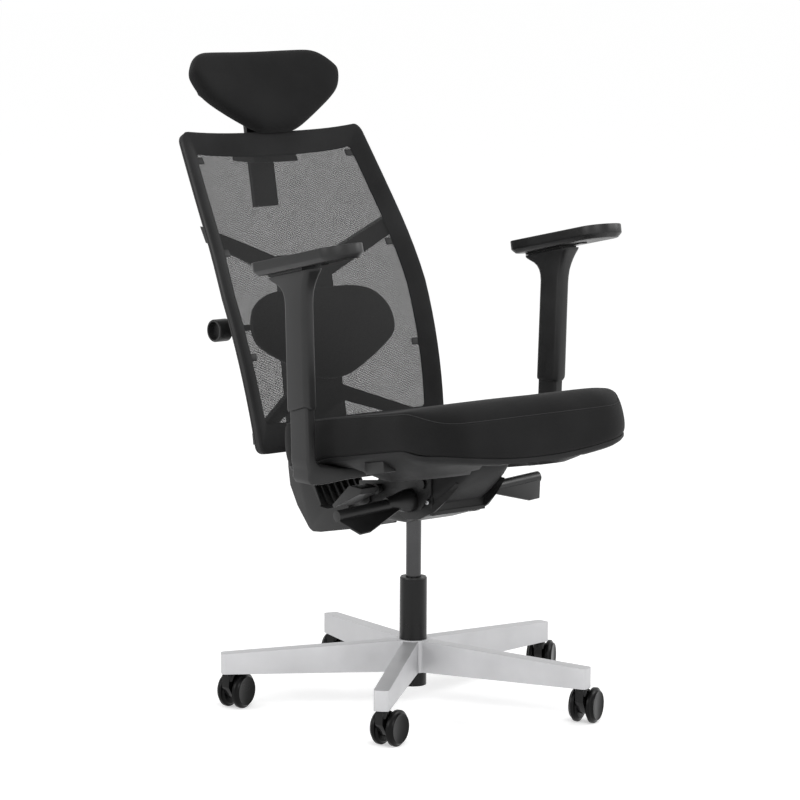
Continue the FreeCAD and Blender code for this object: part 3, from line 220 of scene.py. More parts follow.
# %% Camera
looking = Vector((0.6360, 0.7580, -0.1448)).normalized()
level = looking.cross(Vector((0, 0, 1))).normalized()
upward = level.cross(looking)
ROLL = math.radians(0.34)
across = level * math.cos(ROLL) + upward * math.sin(ROLL)
above = upward * math.cos(ROLL) - level * math.sin(ROLL)
turn = Matrix((across, above, -looking)).transposed().to_4x4()
bpy.ops.object.camera_add()
camera = bpy.context.object
camera.matrix_world = Matrix.Translation((-4.0699, -4.8093, 1.4874)) @ turn
camera.data.lens = 157.5
camera.data.sensor_width = 36
camera.data.clip_end = 50
bpy.context.scene.camera = camera
bpy.context.scene.view_settings.view_transform = "Standard"
print("camera", round(camera.location.length, 2), "m away, lens", camera.data.lens)

# %% [markdown]
# ## Studio
#
# Plain soft light lets the blacks keep their own tones.  The world lights the chair gently, but
# it is pure white to the camera and in reflections, so the backdrop stays clean.

# %% World
def seen_directly(nodes, links):
    """1 for rays from the camera, from glossy surfaces and through clear ones."""
    light_path = nodes.new("ShaderNodeLightPath")
    total = light_path.outputs["Is Camera Ray"]
    for ray in ("Is Glossy Ray", "Is Transmission Ray"):
        either = nodes.new("ShaderNodeMath")
        either.operation = "MAXIMUM"
        links.new(total, either.inputs[0])
        links.new(light_path.outputs[ray], either.inputs[1])
        total = either.outputs[0]
    return total


world = bpy.data.worlds.new("studio")
bpy.context.scene.world = world
world.use_nodes = True
nodes, links = world.node_tree.nodes, world.node_tree.links
nodes.clear()
WORLD_LIGHT, BACKDROP_LIGHT = 0.72, 1.0
seen = seen_directly(nodes, links)
ambient = nodes.new("ShaderNodeBackground")
ambient.inputs["Color"].default_value = (1, 1, 1, 1)
ambient.inputs["Strength"].default_value = WORLD_LIGHT
backdrop = nodes.new("ShaderNodeBackground")
backdrop.inputs["Color"].default_value = (1, 1, 1, 1)
backdrop.inputs["Strength"].default_value = BACKDROP_LIGHT
pick = nodes.new("ShaderNodeMixShader")
out = nodes.new("ShaderNodeOutputWorld")
links.new(seen, pick.inputs["Fac"])
links.new(ambient.outputs[0], pick.inputs[1])
links.new(backdrop.outputs[0], pick.inputs[2])
links.new(pick.outputs[0], out.inputs["Surface"])
print("world light", WORLD_LIGHT, "backdrop", BACKDROP_LIGHT)

# %% [markdown]
# The floor is one large plane.  A chalky surface keeps the chair's soft shadow, and a little
# light of its own, seen only directly, lifts it to the backdrop's white.

# %% Floor
clear_selection()
FLOOR_SIZE, FLOOR_SHADE, FLOOR_LIFT = 60, 0.8, 0.42
bpy.ops.mesh.primitive_plane_add(size=FLOOR_SIZE, location=(0, 0, 0))
floor = bpy.context.object
floor.name = "studio_floor"
floor_paint = bpy.data.materials.new("studio_white")
floor_paint.use_nodes = True
nodes, links = floor_paint.node_tree.nodes, floor_paint.node_tree.links
nodes.clear()
chalk = nodes.new("ShaderNodeBsdfDiffuse")
chalk.inputs["Color"].default_value = (FLOOR_SHADE, FLOOR_SHADE, FLOOR_SHADE, 1)
lift = nodes.new("ShaderNodeEmission")
lift.inputs["Color"].default_value = (1, 1, 1, 1)
lift.inputs["Strength"].default_value = FLOOR_LIFT
dark = nodes.new("ShaderNodeEmission")
dark.inputs["Strength"].default_value = 0.0
only_seen = nodes.new("ShaderNodeMixShader")
links.new(seen_directly(nodes, links), only_seen.inputs["Fac"])
links.new(dark.outputs[0], only_seen.inputs[1])
links.new(lift.outputs[0], only_seen.inputs[2])
both = nodes.new("ShaderNodeAddShader")
links.new(chalk.outputs[0], both.inputs[0])
links.new(only_seen.outputs[0], both.inputs[1])
out = nodes.new("ShaderNodeOutputMaterial")
links.new(both.outputs[0], out.inputs["Surface"])
floor.data.materials.append(floor_paint)
print("floor", FLOOR_SIZE, "m across")

# %% [markdown]
# One large lamp stands high in front and two weaker ones stand at the sides, so that edges get
# a soft highlight.

# %% Lamps
CHAIR_MIDDLE = Vector((0, 0, 0.6))


def lamp(name, place, size, power):
    """A square soft lamp that faces the chair's middle."""
    clear_selection()
    bpy.ops.object.light_add(type="AREA", location=place)
    made = bpy.context.object
    made.name = name
    made.data.size = size
    made.data.energy = power
    made.rotation_euler = (CHAIR_MIDDLE - Vector(place)).to_track_quat("-Z", "Y").to_euler()


lamp("front_softbox", (-2.2, -3.6, 3.4), 2.2, 95)
lamp("left_softbox", (-3.8, 0.6, 2.2), 1.6, 48)
lamp("right_softbox", (3.6, -2.0, 2.4), 1.6, 62)

# %% [markdown]
# ## Finishes
#
# Moulded plastic has a fine even grain that spreads its highlights, and slightly uneven gloss
# where hands polish it.  Each finish is drawn from noise on Object coordinates, at the size of
# the real grain.

# %% Node helpers
def shader(name, color, roughness, metallic=0.0, specular=0.5, **sockets):
    """A material with one Principled shader; its nodes and links are returned with it."""
    material = bpy.data.materials.new(name)
    material.use_nodes = True
    tree = material.node_tree
    body = tree.nodes["Principled BSDF"]
    body.inputs["Base Color"].default_value = (*color, 1)
    body.inputs["Roughness"].default_value = roughness
    body.inputs["Metallic"].default_value = metallic
    body.inputs["Specular IOR Level"].default_value = specular
    for socket, value in sockets.items():
        body.inputs[socket.replace("_", " ")].default_value = value
    return material, tree.nodes, tree.links, body


def noise(nodes, links, coordinates, scale, detail):
    """Even noise; a scale of 1000 gives grains of about a millimetre."""
    made = nodes.new("ShaderNodeTexNoise")
    made.inputs["Scale"].default_value = scale
    made.inputs["Detail"].default_value = detail
    links.new(coordinates, made.inputs["Vector"])
    return made.outputs["Fac"]


def span(nodes, links, value, low, high, start=0.3, end=0.7):
    """Spread a noise value over a range."""
    made = nodes.new("ShaderNodeMapRange")
    made.inputs["From Min"].default_value = start
    made.inputs["From Max"].default_value = end
    made.inputs["To Min"].default_value = low
    made.inputs["To Max"].default_value = high
    links.new(value, made.inputs["Value"])
    return made.outputs["Result"]


def tint(nodes, links, body, factor, first, second):
    """Colour that wanders between two close tones."""
    mix = nodes.new("ShaderNodeMix")
    mix.data_type = "RGBA"
    mix.inputs["A"].default_value = (*first, 1)
    mix.inputs["B"].default_value = (*second, 1)
    links.new(factor, mix.inputs["Factor"])
    links.new(mix.outputs["Result"], body.inputs["Base Color"])


def maths(nodes, links, operation, *values):
    """A Math node over sockets and plain numbers."""
    made = nodes.new("ShaderNodeMath")
    made.operation = operation
    for slot, value in zip(made.inputs, values):
        if isinstance(value, (int, float)):
            slot.default_value = value
        else:
            links.new(value, slot)
    return made.outputs[0]


def relief(nodes, links, body, height, strength, depth):
    """Fine bumps from a height value."""
    bump = nodes.new("ShaderNodeBump")
    bump.inputs["Strength"].default_value = strength
    bump.inputs["Distance"].default_value = depth
    links.new(height, bump.inputs["Height"])
    links.new(bump.outputs["Normal"], body.inputs["Normal"])


def grey(value):
    """A neutral colour from a display value of 0 to 255."""
    level = value / 255
    linear = level / 12.92 if level <= 0.04045 else ((level + 0.055) / 1.055) ** 2.4
    return (linear, linear, linear * 1.02)


# %% [markdown]
# Eight blacks cover the plastics and the coated metal.  They differ in depth and gloss: dull on
# the seat's tray, satin on levers, glossy on the casters, soft on the arm pads.

# %% Moulded plastics and coated metal
def moulded(name, shade, roughness, grain=0.25, specular=0.5):
    """Injection-moulded plastic: a leathery micro grain and faint rub marks."""
    material, nodes, links, body = shader(name, grey(shade), roughness, 0.0, specular)
    place = nodes.new("ShaderNodeTexCoord").outputs["Object"]
    fine = noise(nodes, links, place, 2600, 2.0)
    broad = noise(nodes, links, place, 18, 4.0)
    tint(nodes, links, body, span(nodes, links, broad, 0.0, 1.0), grey(shade - 3), grey(shade + 4))
    links.new(span(nodes, links, broad, roughness - 0.06, roughness + 0.07), body.inputs["Roughness"])
    relief(nodes, links, body, fine, grain, 0.0002)
    return material


black_plastic = moulded("black_plastic", 28, 0.44, specular=0.33)
satin_black = moulded("satin_black", 24, 0.38, grain=0.15, specular=0.32)
gloss_black = moulded("gloss_black", 8, 0.2, grain=0.04, specular=0.22)
soft_skin = moulded("soft_arm_pad_skin", 26, 0.38, grain=0.3, specular=0.27)
housing_coat = moulded("housing_coat", 22, 0.42, grain=0.3, specular=0.28)
shell_black = moulded("shell_black", 30, 0.55, grain=0.35, specular=0.14)
tube_black = moulded("column_black", 16, 0.3, grain=0.05, specular=0.22)
tyre_black = moulded("wheel_tread", 9, 0.3, grain=0.05, specular=0.12)
print("plastics", [made.name for made in (black_plastic, satin_black, gloss_black, soft_skin, housing_coat,
                                          shell_black, tube_black, tyre_black)])

# %% [markdown]
# The star base is die-cast aluminium, blasted to an even satin: bright, with a soft broad
# highlight, faint mottling and a fine grain.

# %% Metals
def cast_metal(name, shade, roughness, speckle, metallic=1.0):
    """Metal with a fine grain, broad mottling and uneven gloss."""
    material, nodes, links, body = shader(name, grey(shade), roughness, metallic)
    place = nodes.new("ShaderNodeTexCoord").outputs["Object"]
    fine = noise(nodes, links, place, 900, 3.0)
    broad = noise(nodes, links, place, 11, 5.0)
    tint(nodes, links, body, span(nodes, links, broad, 0.0, 1.0), grey(shade - 9), grey(shade + 5))
    links.new(span(nodes, links, broad, roughness - 0.05, roughness + 0.08), body.inputs["Roughness"])
    relief(nodes, links, body, fine, speckle, 0.00015)
    return material


aluminium = cast_metal("satin_aluminium", 190, 0.42, 0.25, metallic=0.55)
bright_steel = cast_metal("bright_steel", 200, 0.25, 0.05)
lift_steel = cast_metal("lift_tube_steel", 68, 0.22, 0.04)
zinc = cast_metal("zinc_steel", 190, 0.35, 0.1)
print("metals", aluminium.name, bright_steel.name, lift_steel.name, zinc.name)

# %% [markdown]
# The seat, headrest and back border wear the same dense woven cloth: fine crossed threads,
# slightly uneven in tone, with a soft sheen where the light grazes it.

# %% Woven cloth
THREAD_SCALE = 210


def threads(nodes, links, place, turn_degrees):
    """Bands of thread along one direction."""
    mapping = nodes.new("ShaderNodeMapping")
    mapping.inputs["Rotation"].default_value = [math.radians(turn) for turn in turn_degrees]
    links.new(place, mapping.inputs["Vector"])
    wave = nodes.new("ShaderNodeTexWave")
    wave.inputs["Scale"].default_value = THREAD_SCALE
    wave.inputs["Distortion"].default_value = 1.2
    wave.inputs["Detail"].default_value = 1.0
    links.new(mapping.outputs["Vector"], wave.inputs["Vector"])
    return wave.outputs["Fac"]


def woven(name, shade):
    """Cloth with crossed threads, flecks and a slight drift in tone."""
    material, nodes, links, body = shader(
        name, grey(shade), 0.9, specular=0.12, Sheen_Weight=0.06, Sheen_Roughness=0.5)
    place = nodes.new("ShaderNodeTexCoord").outputs["Object"]
    warp = threads(nodes, links, place, (0, 0, 45))
    weft = threads(nodes, links, place, (0, 90, -45))
    cross = maths(nodes, links, "MULTIPLY", warp, weft)
    flecks = noise(nodes, links, place, 650, 2.0)
    broad = noise(nodes, links, place, 9, 3.0)
    blend = maths(nodes, links, "MULTIPLY_ADD", flecks, 0.6, broad)
    drift = span(nodes, links, blend, 0.0, 1.0, 0.55, 1.0)
    tint(nodes, links, body, drift, grey(shade - 5), grey(shade + 5))
    rough = maths(nodes, links, "ADD", cross, flecks)
    relief(nodes, links, body, rough, 0.5, 0.0004)
    return material


seat_cloth = woven("seat_cloth", 21)
border_cloth = woven("border_cloth", 36)
stitch_thread = woven("stitch_thread", 46)
print("cloths", seat_cloth.name, border_cloth.name, stitch_thread.name)

# %% [markdown]
# The back is an open elastic mesh: fine cross ribs with narrow gaps that let the light
# through.  The holes are far too small to model, so the threads are drawn as opacity in the
# material, on a real thin sheet.

# %% Open mesh
TWILL_ACROSS, TWILL_UP, TWILL_PITCH, TWILL_SWING = 0.423, 0.906, 0.0042, 0.27


def open_mesh(name, shade, rib_pitch, column_pitch, rib_share, column_share):
    """Thin threads with open gaps; the threads swell and thin along slanting lines."""
    material, nodes, links, body = shader(name, grey(shade), 0.7, 0.0, 0.3, Sheen_Weight=0.05)
    place = nodes.new("ShaderNodeTexCoord").outputs["Object"]
    split = nodes.new("ShaderNodeSeparateXYZ")
    links.new(place, split.inputs[0])
    slope = nodes.new("ShaderNodeVectorMath")
    slope.operation = "DOT_PRODUCT"
    links.new(place, slope.inputs[0])
    slope.inputs[1].default_value = (TWILL_ACROSS / TWILL_PITCH, 0.0, TWILL_UP / TWILL_PITCH)
    twill = maths(nodes, links, "PINGPONG", slope.outputs["Value"], 0.5)
    solid = []
    for value, pitch, share in ((split.outputs["Z"], rib_pitch, rib_share),
                                (split.outputs["X"], column_pitch, column_share)):
        phase = maths(nodes, links, "FRACT", maths(nodes, links, "DIVIDE", value, pitch * MM))
        wide = maths(nodes, links, "MULTIPLY_ADD", twill, TWILL_SWING, share - TWILL_SWING / 4)
        solid.append(maths(nodes, links, "LESS_THAN", phase, wide))
    links.new(maths(nodes, links, "MAXIMUM", *solid), body.inputs["Alpha"])
    flecks = noise(nodes, links, place, 500, 2.0)
    tint(nodes, links, body, span(nodes, links, flecks, 0.0, 1.0), grey(shade - 5), grey(shade + 8))
    return material


back_net = open_mesh("back_net", 25, rib_pitch=1.15, column_pitch=1.05, rib_share=0.43, column_share=0.33)
print("mesh", back_net.name, "with", len(back_net.node_tree.nodes), "nodes")

# %% [markdown]
# ## The back's curve
#
# Rim, mesh and lumbar pad all follow one curve seen from the side: an arc over the lower two
# thirds that runs into a straight top.  A point is given by its height and by how far it lies
# behind the curve.

# %% Back curve
BACK_RADIUS, LEAN_LOW, LEAN_HIGH = 1010.0, math.radians(8), math.radians(32.5)
BACK_LOW_Y, BACK_LOW_Z, BACK_TOP_Z = 179.0, 472.0, 1027.0
CENTRE_Y = BACK_LOW_Y + BACK_RADIUS * math.cos(LEAN_LOW)
CENTRE_Z = BACK_LOW_Z - BACK_RADIUS * math.sin(LEAN_LOW)


def on_back(x, z, behind=0.0):
    """A point at a height on the back's curve, moved square to it by behind."""
    rise = z - CENTRE_Z
    if rise < BACK_RADIUS * math.sin(LEAN_HIGH):
        lean = math.asin(rise / BACK_RADIUS)
        y = CENTRE_Y - BACK_RADIUS * math.cos(lean)
    else:
        lean = LEAN_HIGH
        y = (CENTRE_Y - BACK_RADIUS * math.cos(lean)
             + (rise - BACK_RADIUS * math.sin(lean)) * math.tan(lean))
    return Vector((x, y + behind * math.cos(lean), z - behind * math.sin(lean)))


def side_of_back(z):
    """Half width of the back at a height."""
    HALF_LOW, HALF_MID, HALF_TOP, WIDE_Z = 221.0, 238.5, 212.5, 750.0
    share = (z - WIDE_Z) / (BACK_TOP_Z - WIDE_Z if z > WIDE_Z else BACK_LOW_Z - WIDE_Z)
    edge = HALF_TOP if z > WIDE_Z else HALF_LOW
    bulge = 5.0 if z > WIDE_Z else 3.0
    return HALF_MID + (edge - HALF_MID) * share + bulge * 4 * share * (1 - share) * 0.6


def rounded_square(corner_across, corner_up, side_steps=14, corner_steps=6):
    """Points round the square from -1 to 1, anticlockwise, with rounded corners."""
    points = []
    for quarter, (sign_u, sign_v) in enumerate(((1, -1), (1, 1), (-1, 1), (-1, -1))):
        middle = (sign_u * (1 - corner_across), sign_v * (1 - corner_up))
        for k in range(corner_steps + 1):
            angle = math.radians(90 * quarter - 90 + 90 * k / corner_steps)
            points.append((middle[0] + corner_across * math.cos(angle),
                           middle[1] + corner_up * math.sin(angle)))
        next_u, next_v = ((1, 1), (-1, 1), (-1, -1), (1, -1))[quarter]
        upright = quarter in (0, 2)
        start = points[-1]
        stop = (start[0], next_v * (1 - corner_up)) if upright else (next_u * (1 - corner_across), start[1])
        for k in range(1, side_steps):
            share = k / side_steps
            points.append((start[0] + (stop[0] - start[0]) * share,
                           start[1] + (stop[1] - start[1]) * share))
    return points


EDGE_RISE, EDGE_LOW_Z = 9.0, BACK_LOW_Z - 9.0


def back_loop(inset_side, inset_end, corner, behind):
    """A closed loop on the back, drawn in from its edge; its top corners rise a little."""
    half_high = (BACK_TOP_Z - EDGE_LOW_Z) / 2
    middle_z = (BACK_TOP_Z + EDGE_LOW_Z) / 2
    loop = []
    for u, v in rounded_square(corner / 220, corner / (half_high - inset_end), 18, 6):
        z = middle_z + v * (half_high - inset_end)
        x = u * (side_of_back(z) - inset_side)
        z += EDGE_RISE * abs(u) ** 3 * max(0.0, v) ** 6 + 0.5 * inset_end * max(0.0, -v) ** 3
        loop.append(on_back(x, z, behind))
    return loop


for height in (BACK_LOW_Z, BACK_TOP_Z):
    print("back at", round(height), "mm: half width", round(side_of_back(height), 1),
          "depth", round(on_back(0, height).y, 1))

# %% [markdown]
# ## Back rim, border and mesh
#
# A moulded plastic frame carries the back.  Cloth is wrapped over its front: it starts at the
# outer front edge and slopes back to the mesh, which lies a little deeper.  Both are rolled
# round the back as closed loops of a small section.

# %% Rim and cloth border
FRAME_SECTION = [  # (inward from the edge, behind the curve)
    (1.6, -1.0), (0.2, 0.5), (0.0, 3.2), (1.4, 4.0), (1.4, 5.2), (0.0, 6.0), (0.0, 8.4), (1.4, 9.2),
    (1.6, 10.4), (4.0, 12.4), (16.0, 13.4), (29.0, 13.0), (31.5, 12.2), (31.5, 10.6), (22.0, 6.0), (8.0, 0.0),
]
BORDER_SECTION = [
    (1.2, -1.4), (0.4, -3.2), (0.2, -5.4), (1.0, -7.6), (3.4, -8.6), (7.0, -8.2), (14.0, -5.0), (23.0, 1.2),
    (30.0, 7.2), (33.0, 9.4), (33.8, 10.0), (33.4, 10.5), (30.0, 9.2), (20.0, 4.0), (10.0, -2.2),
]


def back_ring(name, section, corner=15.0):
    """A loop of a small section round the back; the top and bottom members are narrower."""
    END_SHARE = 1.06
    loops = [back_loop(inward, inward * END_SHARE, max(corner - inward * 0.35, 8.0), behind)
             for inward, behind in section]
    return rolled(name, loops, join_rings=True)


back_frame = back_ring("back_frame", FRAME_SECTION)
smooth(back_frame, 50)
dress(back_frame, "back", "black_plastic", black_plastic, "back_rim")
back_border = back_ring("back_border", BORDER_SECTION)
smooth(back_border, 60)
dress(back_border, "back", "mesh_fabric", border_cloth)

# %% [markdown]
# The mesh is one thin sheet.  A fine grid is laid on the back's curve, out to where the border
# covers its edge, and a Solidify modifier gives it its real thickness of under a millimetre.

# %% Mesh panel
MESH_DEPTH, MESH_HALF_THICK = 11.0, 0.35
clear_selection()
bpy.ops.mesh.primitive_grid_add(x_subdivisions=40, y_subdivisions=56, size=2)
back_net_sheet = bpy.context.object
back_net_sheet.name = "back_net_sheet"
for corner in back_net_sheet.data.vertices:
    u, v = corner.co.x, corner.co.y
    z = (BACK_TOP_Z + BACK_LOW_Z) / 2 + v * ((BACK_TOP_Z - BACK_LOW_Z) / 2 - 26)
    corner.co = on_back(u * (side_of_back(z) - 24), z, MESH_DEPTH) * MM
modify(back_net_sheet, "SOLIDIFY", thickness=2 * MESH_HALF_THICK * MM, offset=0)
edit(back_net_sheet, outward)
smooth(back_net_sheet, 60)
dress(back_net_sheet, "back", "mesh_fabric", back_net, "back_mesh")

# %% [markdown]
# Small clips hold the mesh's edge from behind.  Each is a short block with a rounded nose.

# %% Edge clips
clear_selection()
clips = []
for z in (990.0, 826.0, 639.0):
    for sign in (-1, 1):
        bpy.ops.mesh.primitive_cube_add(size=1)
        clip = bpy.context.object
        clip.data.transform(Matrix.Diagonal((0.022, 0.004, 0.014, 1)))
        lean = math.degrees(math.asin(min((z - CENTRE_Z) / BACK_RADIUS, math.sin(LEAN_HIGH))))
        place = on_back(sign * (side_of_back(z) - 36), z, 12.6)
        moved(clip, Matrix.Translation(place * MM) @ tilt(-lean))
        modify(clip, "BEVEL", width=0.0015, segments=3, limit_method="ANGLE")
        clips.append(clip)
take(clips[0])
for clip in clips:
    clip.select_set(True)
bpy.ops.object.join()
edge_clips = bpy.context.object
edge_clips.name = "edge_clips"
smooth(edge_clips)
dress(edge_clips, "back", "black_plastic", black_plastic)

# %% [markdown]
# ## Smooth outlines
#
# The headrest and the lumbar pad are shields with soft corners.  A few corner points are
# rounded by cutting every corner, three times over, and the outline is then drawn in ring by
# ring to make a pillow.

# %% Outline helpers
def cut_corners(points, times=3):
    """Chaikin's rule: replace each corner with two points a quarter along its sides."""
    for _ in range(times):
        points = [
            (a[0] * (1 - share) + b[0] * share, a[1] * (1 - share) + b[1] * share)
            for a, b in zip(points, points[1:] + points[:1])
            for share in (0.25, 0.75)
        ]
    return points


def both_sides(half):
    """Close a right-hand outline, given from the top down, with its mirror image."""
    return half + [(-x, z) for x, z in reversed(half)]


CLOSE_FROM, FULL_INSET = 34.0, 75.0


def drawn_in(points, inset, centre_z):
    """Shrink an outline by about one inset all round; deep insets close to a point."""
    shrunk = []
    for x, z in points:
        reach = math.hypot(x, (z - centre_z) * 2)
        share = max(0.0, 1 - inset / max(reach, 1.0))
        share *= 1 - max(0.0, (inset - CLOSE_FROM) / (FULL_INSET - CLOSE_FROM))
        shrunk.append((x * share, centre_z + (z - centre_z) * max(0.0, 1 - inset / FULL_INSET)))
    return shrunk


# %% [markdown]
# ## Headrest
#
# A padded wing, curved forward at its sides.  The front is a shallow pillow, and the edge rolls
# round to a flat back.

# %% Headrest pad
HEADREST = at(0, 448, 1103) @ tilt(-33)
HEAD_CURVE, WING_MIDDLE = 640.0, 5.0
WING = [
    (50, 86), (104, 83), (132, 79), (152, 66), (172, 38), (173, 24), (165, 0), (150, -20), (96, -54),
    (50, -80), (30, -84),
]
wing = cut_corners(both_sides(WING))


def wing_ring(inset, depth):
    """A ring of the pad; depth is behind its middle surface."""
    return [Vector((x, depth - x * x / (2 * HEAD_CURVE), z)) for x, z in drawn_in(wing, inset, WING_MIDDLE)]


PAD_SECTION = [(60, 17.5), (30, 17.8), (10, 17.0), (3, 14.0), (0, 8.0), (0, 0.0), (1, -7.0), (5, -12.5),
               (11, -15.8), (20, -17.6), (32, -18.4), (48, -18.8), (60, -19.0), (69, -19.0), (74.5, -19.0)]
headrest = rolled("headrest_cushion", [wing_ring(inset, depth) for inset, depth in PAD_SECTION])
moved(headrest, HEADREST)
modify(headrest, "SUBSURF", levels=1, render_levels=1)
smooth(headrest, 80)
dress(headrest, "headrest", "headrest_fabric", seat_cloth, "headrest_pad")

# %% [markdown]
# ## Lumbar pad
#
# The lumbar pad is a firm shield behind the mesh.  Its screw runs back through the spine to
# the knob, so a cylinder for the screw is joined to it and stays with it.

# %% Lumbar shield
SHIELD = [(40, 758), (108, 757), (150, 738), (170, 704), (168, 668), (146, 648), (92, 617), (30, 588)]
SCREW_Z = 676.0
shield = cut_corners(both_sides(SHIELD))


def shield_ring(inset, behind):
    """A ring of the shield on the back's curve."""
    return [on_back(x, z, behind) for x, z in drawn_in(shield, inset, SCREW_Z)]


LUMBAR_SECTION = [
    (60, 38.5), (20, 38.5), (4, 38.0), (0, 35.5), (0, 30.0), (2, 27.5), (8, 26.5), (30, 25.5), (60, 25.0),
]
lumbar_shield = rolled("lumbar_shield", [shield_ring(inset, behind) for inset, behind in LUMBAR_SECTION])
smooth(lumbar_shield, 60)
clear_selection()
bpy.ops.mesh.primitive_cylinder_add(radius=0.006, depth=0.058, vertices=32)
lumbar_screw = bpy.context.object
screw_start = on_back(0, SCREW_Z, 34)
moved(lumbar_screw, at(0, screw_start.y + 29, SCREW_Z) @ tilt(90))
take(lumbar_shield)
lumbar_screw.select_set(True)
bpy.ops.object.join()
dress(lumbar_shield, "lumbar", "black_plastic", satin_black, "lumbar_pad")

# %% [markdown]
# ## Seat cushion
#
# Moulded foam in tight cloth.  The upright side band meets the top panel at a seam, which runs
# high along the sides and drops round the front corners; the front edge dips in the middle.
# Rings are laid from the underside, up the band, over the seam and in across the top.

# %% Cushion shape
SEAT = at(0, -50, 468) @ tilt(-10.5)
CUSHION_HALF, CUSHION_FRONT, CUSHION_REAR = 250.0, -305.0, 166.0


def ease(value, start, stop):
    """A smooth step from 0 to 1."""
    share = min(1.0, max(0.0, (value - start) / (stop - start)))
    return share * share * (3 - 2 * share)


def cushion_low(x, y):
    """Height of the cushion's lower edge: it rises beside the thighs and dips in front."""
    front = ease(-y, 215, 300)
    middle = 1 - min(1.0, abs(x) / 215) ** 2
    side = 12.5 + 7.5 * ease(-y, -60, 20) * (1 - ease(-y, 215, 262))
    return side * (1 - front) + (3.0 - 20.0 * middle) * front


def cushion_seam(x, y):
    """Height of the seam."""
    return 88.0 - 4.0 * ease(-y, 60, 220) - 27.0 * ease(-y, 225, 305)


def cushion_top(x, y):
    return 92.5 - 8.0 * (1 - (x / 250) ** 2) * (1 - ease(-y, 120, 260)) + 1.0 * ease(-y, 120, 250)


def cushion_ring(inset, height):
    """A ring drawn in from the plan outline; height(x, y) gives its level."""
    half_deep = (CUSHION_REAR - CUSHION_FRONT) / 2
    middle_y = (CUSHION_REAR + CUSHION_FRONT) / 2
    ring = []
    for u, v in rounded_square(0.37, 0.39, 12, 10):
        bow = 6.0 * (1 - u * u) * (v < 0)
        x = u * (CUSHION_HALF - inset)
        y = middle_y + v * (half_deep - inset) - bow * abs(v) ** 3
        ring.append(Vector((x, y, height(x, y))))
    return ring


def band(share, drop=0.0):
    """Level on the side band, from its lower edge at 0 to the seam at 1."""
    return lambda x, y: cushion_low(x, y) + (cushion_seam(x, y) - cushion_low(x, y)) * share - drop


def crown(share, drop=0.0):
    """Level on the top panel, from the seam at 0 to the full height at 1."""
    return lambda x, y: cushion_seam(x, y) + (cushion_top(x, y) - cushion_seam(x, y)) * share - drop


CUSHION_RINGS = [
    (120, lambda x, y: cushion_low(x, y) + 3), (40, band(0.03)), (12, band(0.0)), (4, band(0.02)),
    (1.5, band(0.09)), (0, band(0.22)), (-0.5, band(0.4)), (0, band(0.6)), (1.5, band(0.8)),
    (3.0, band(0.92)), (4.2, band(0.975)),
    (6.2, band(1.0, 0.4)), (7.0, crown(0.03, -1.6)), (9.5, crown(0.22, -1.8)), (14, crown(0.42, -1.2)),
    (22, crown(0.66)), (34, crown(0.86)), (50, crown(0.97)), (72, crown(1.0)), (100, crown(1.0)),
    (135, crown(1.0)), (175, crown(1.0)), (215, crown(1.0)),
]
cushion = rolled("seat_cushion_cloth", [cushion_ring(inset, height) for inset, height in CUSHION_RINGS])
modify(cushion, "SUBSURF", levels=1, render_levels=1)
moved(cushion, SEAT)
smooth(cushion, 80)
dress(cushion, "seat", "cushion_fabric", seat_cloth, "seat_cushion")

# %% [markdown]
# A line of stitches sinks into the seam.  A thin cord follows the same ring.

# %% Seat seam
seam_points = [SEAT @ (point * MM) for point in cushion_ring(5.6, band(1.0, -0.3))]
clear_selection()
path = bpy.data.curves.new("seat_seam", "CURVE")
path.dimensions = "3D"
line = path.splines.new("POLY")
line.points.add(len(seam_points) - 1)
for place, point in zip(line.points, seam_points):
    place.co = (*point, 1)
line.use_cyclic_u = True
path.bevel_depth = 0.0007
path.bevel_resolution = 2
seat_seam = bpy.data.objects.new("seat_seam", path)
bpy.context.scene.collection.objects.link(seat_seam)
take(seat_seam)
bpy.ops.object.convert(target="MESH")
seat_seam = bpy.context.object
smooth(seat_seam, 80)
dress(seat_seam, "seat", "cushion_fabric", stitch_thread)

# %% [markdown]
# ## Seat shell
#
# Under the cushion is a moulded tray.  Its rim follows the cushion's wavy lower edge, and its
# front drops into two shallow lobes beside the mechanism.

# %% Shell
SHELL_HALF, SHELL_FRONT, SHELL_REAR = 247.5, -302.0, 163.0


def lobe(x, y):
    """Depth of the tray under its rim level, for a place on its underside."""
    beside = ease(abs(x), 76, 96)
    along = ease(-y, 38, 62)
    over_nose = 0.34 * ease(-y, 92, 120)
    return max(beside * along, over_nose)


def shell_ring(inset, under):
    """A ring of the shell; under is how far down the underside it lies, from 0 at the rim."""
    half_deep = (SHELL_REAR - SHELL_FRONT) / 2
    middle_y = (SHELL_REAR + SHELL_FRONT) / 2
    ring = []
    for u, v in rounded_square(0.37, 0.39, 12, 10):
        bow = 5.0 * (1 - u * u) * (v < 0)
        x = u * (SHELL_HALF - inset)
        y = middle_y + v * (half_deep - inset) - bow * abs(v) ** 3
        rim = cushion_low(u * CUSHION_HALF, middle_y + v * (CUSHION_REAR - CUSHION_FRONT) / 2)
        ring.append(Vector((x, y, under(x, y, rim))))
    return ring


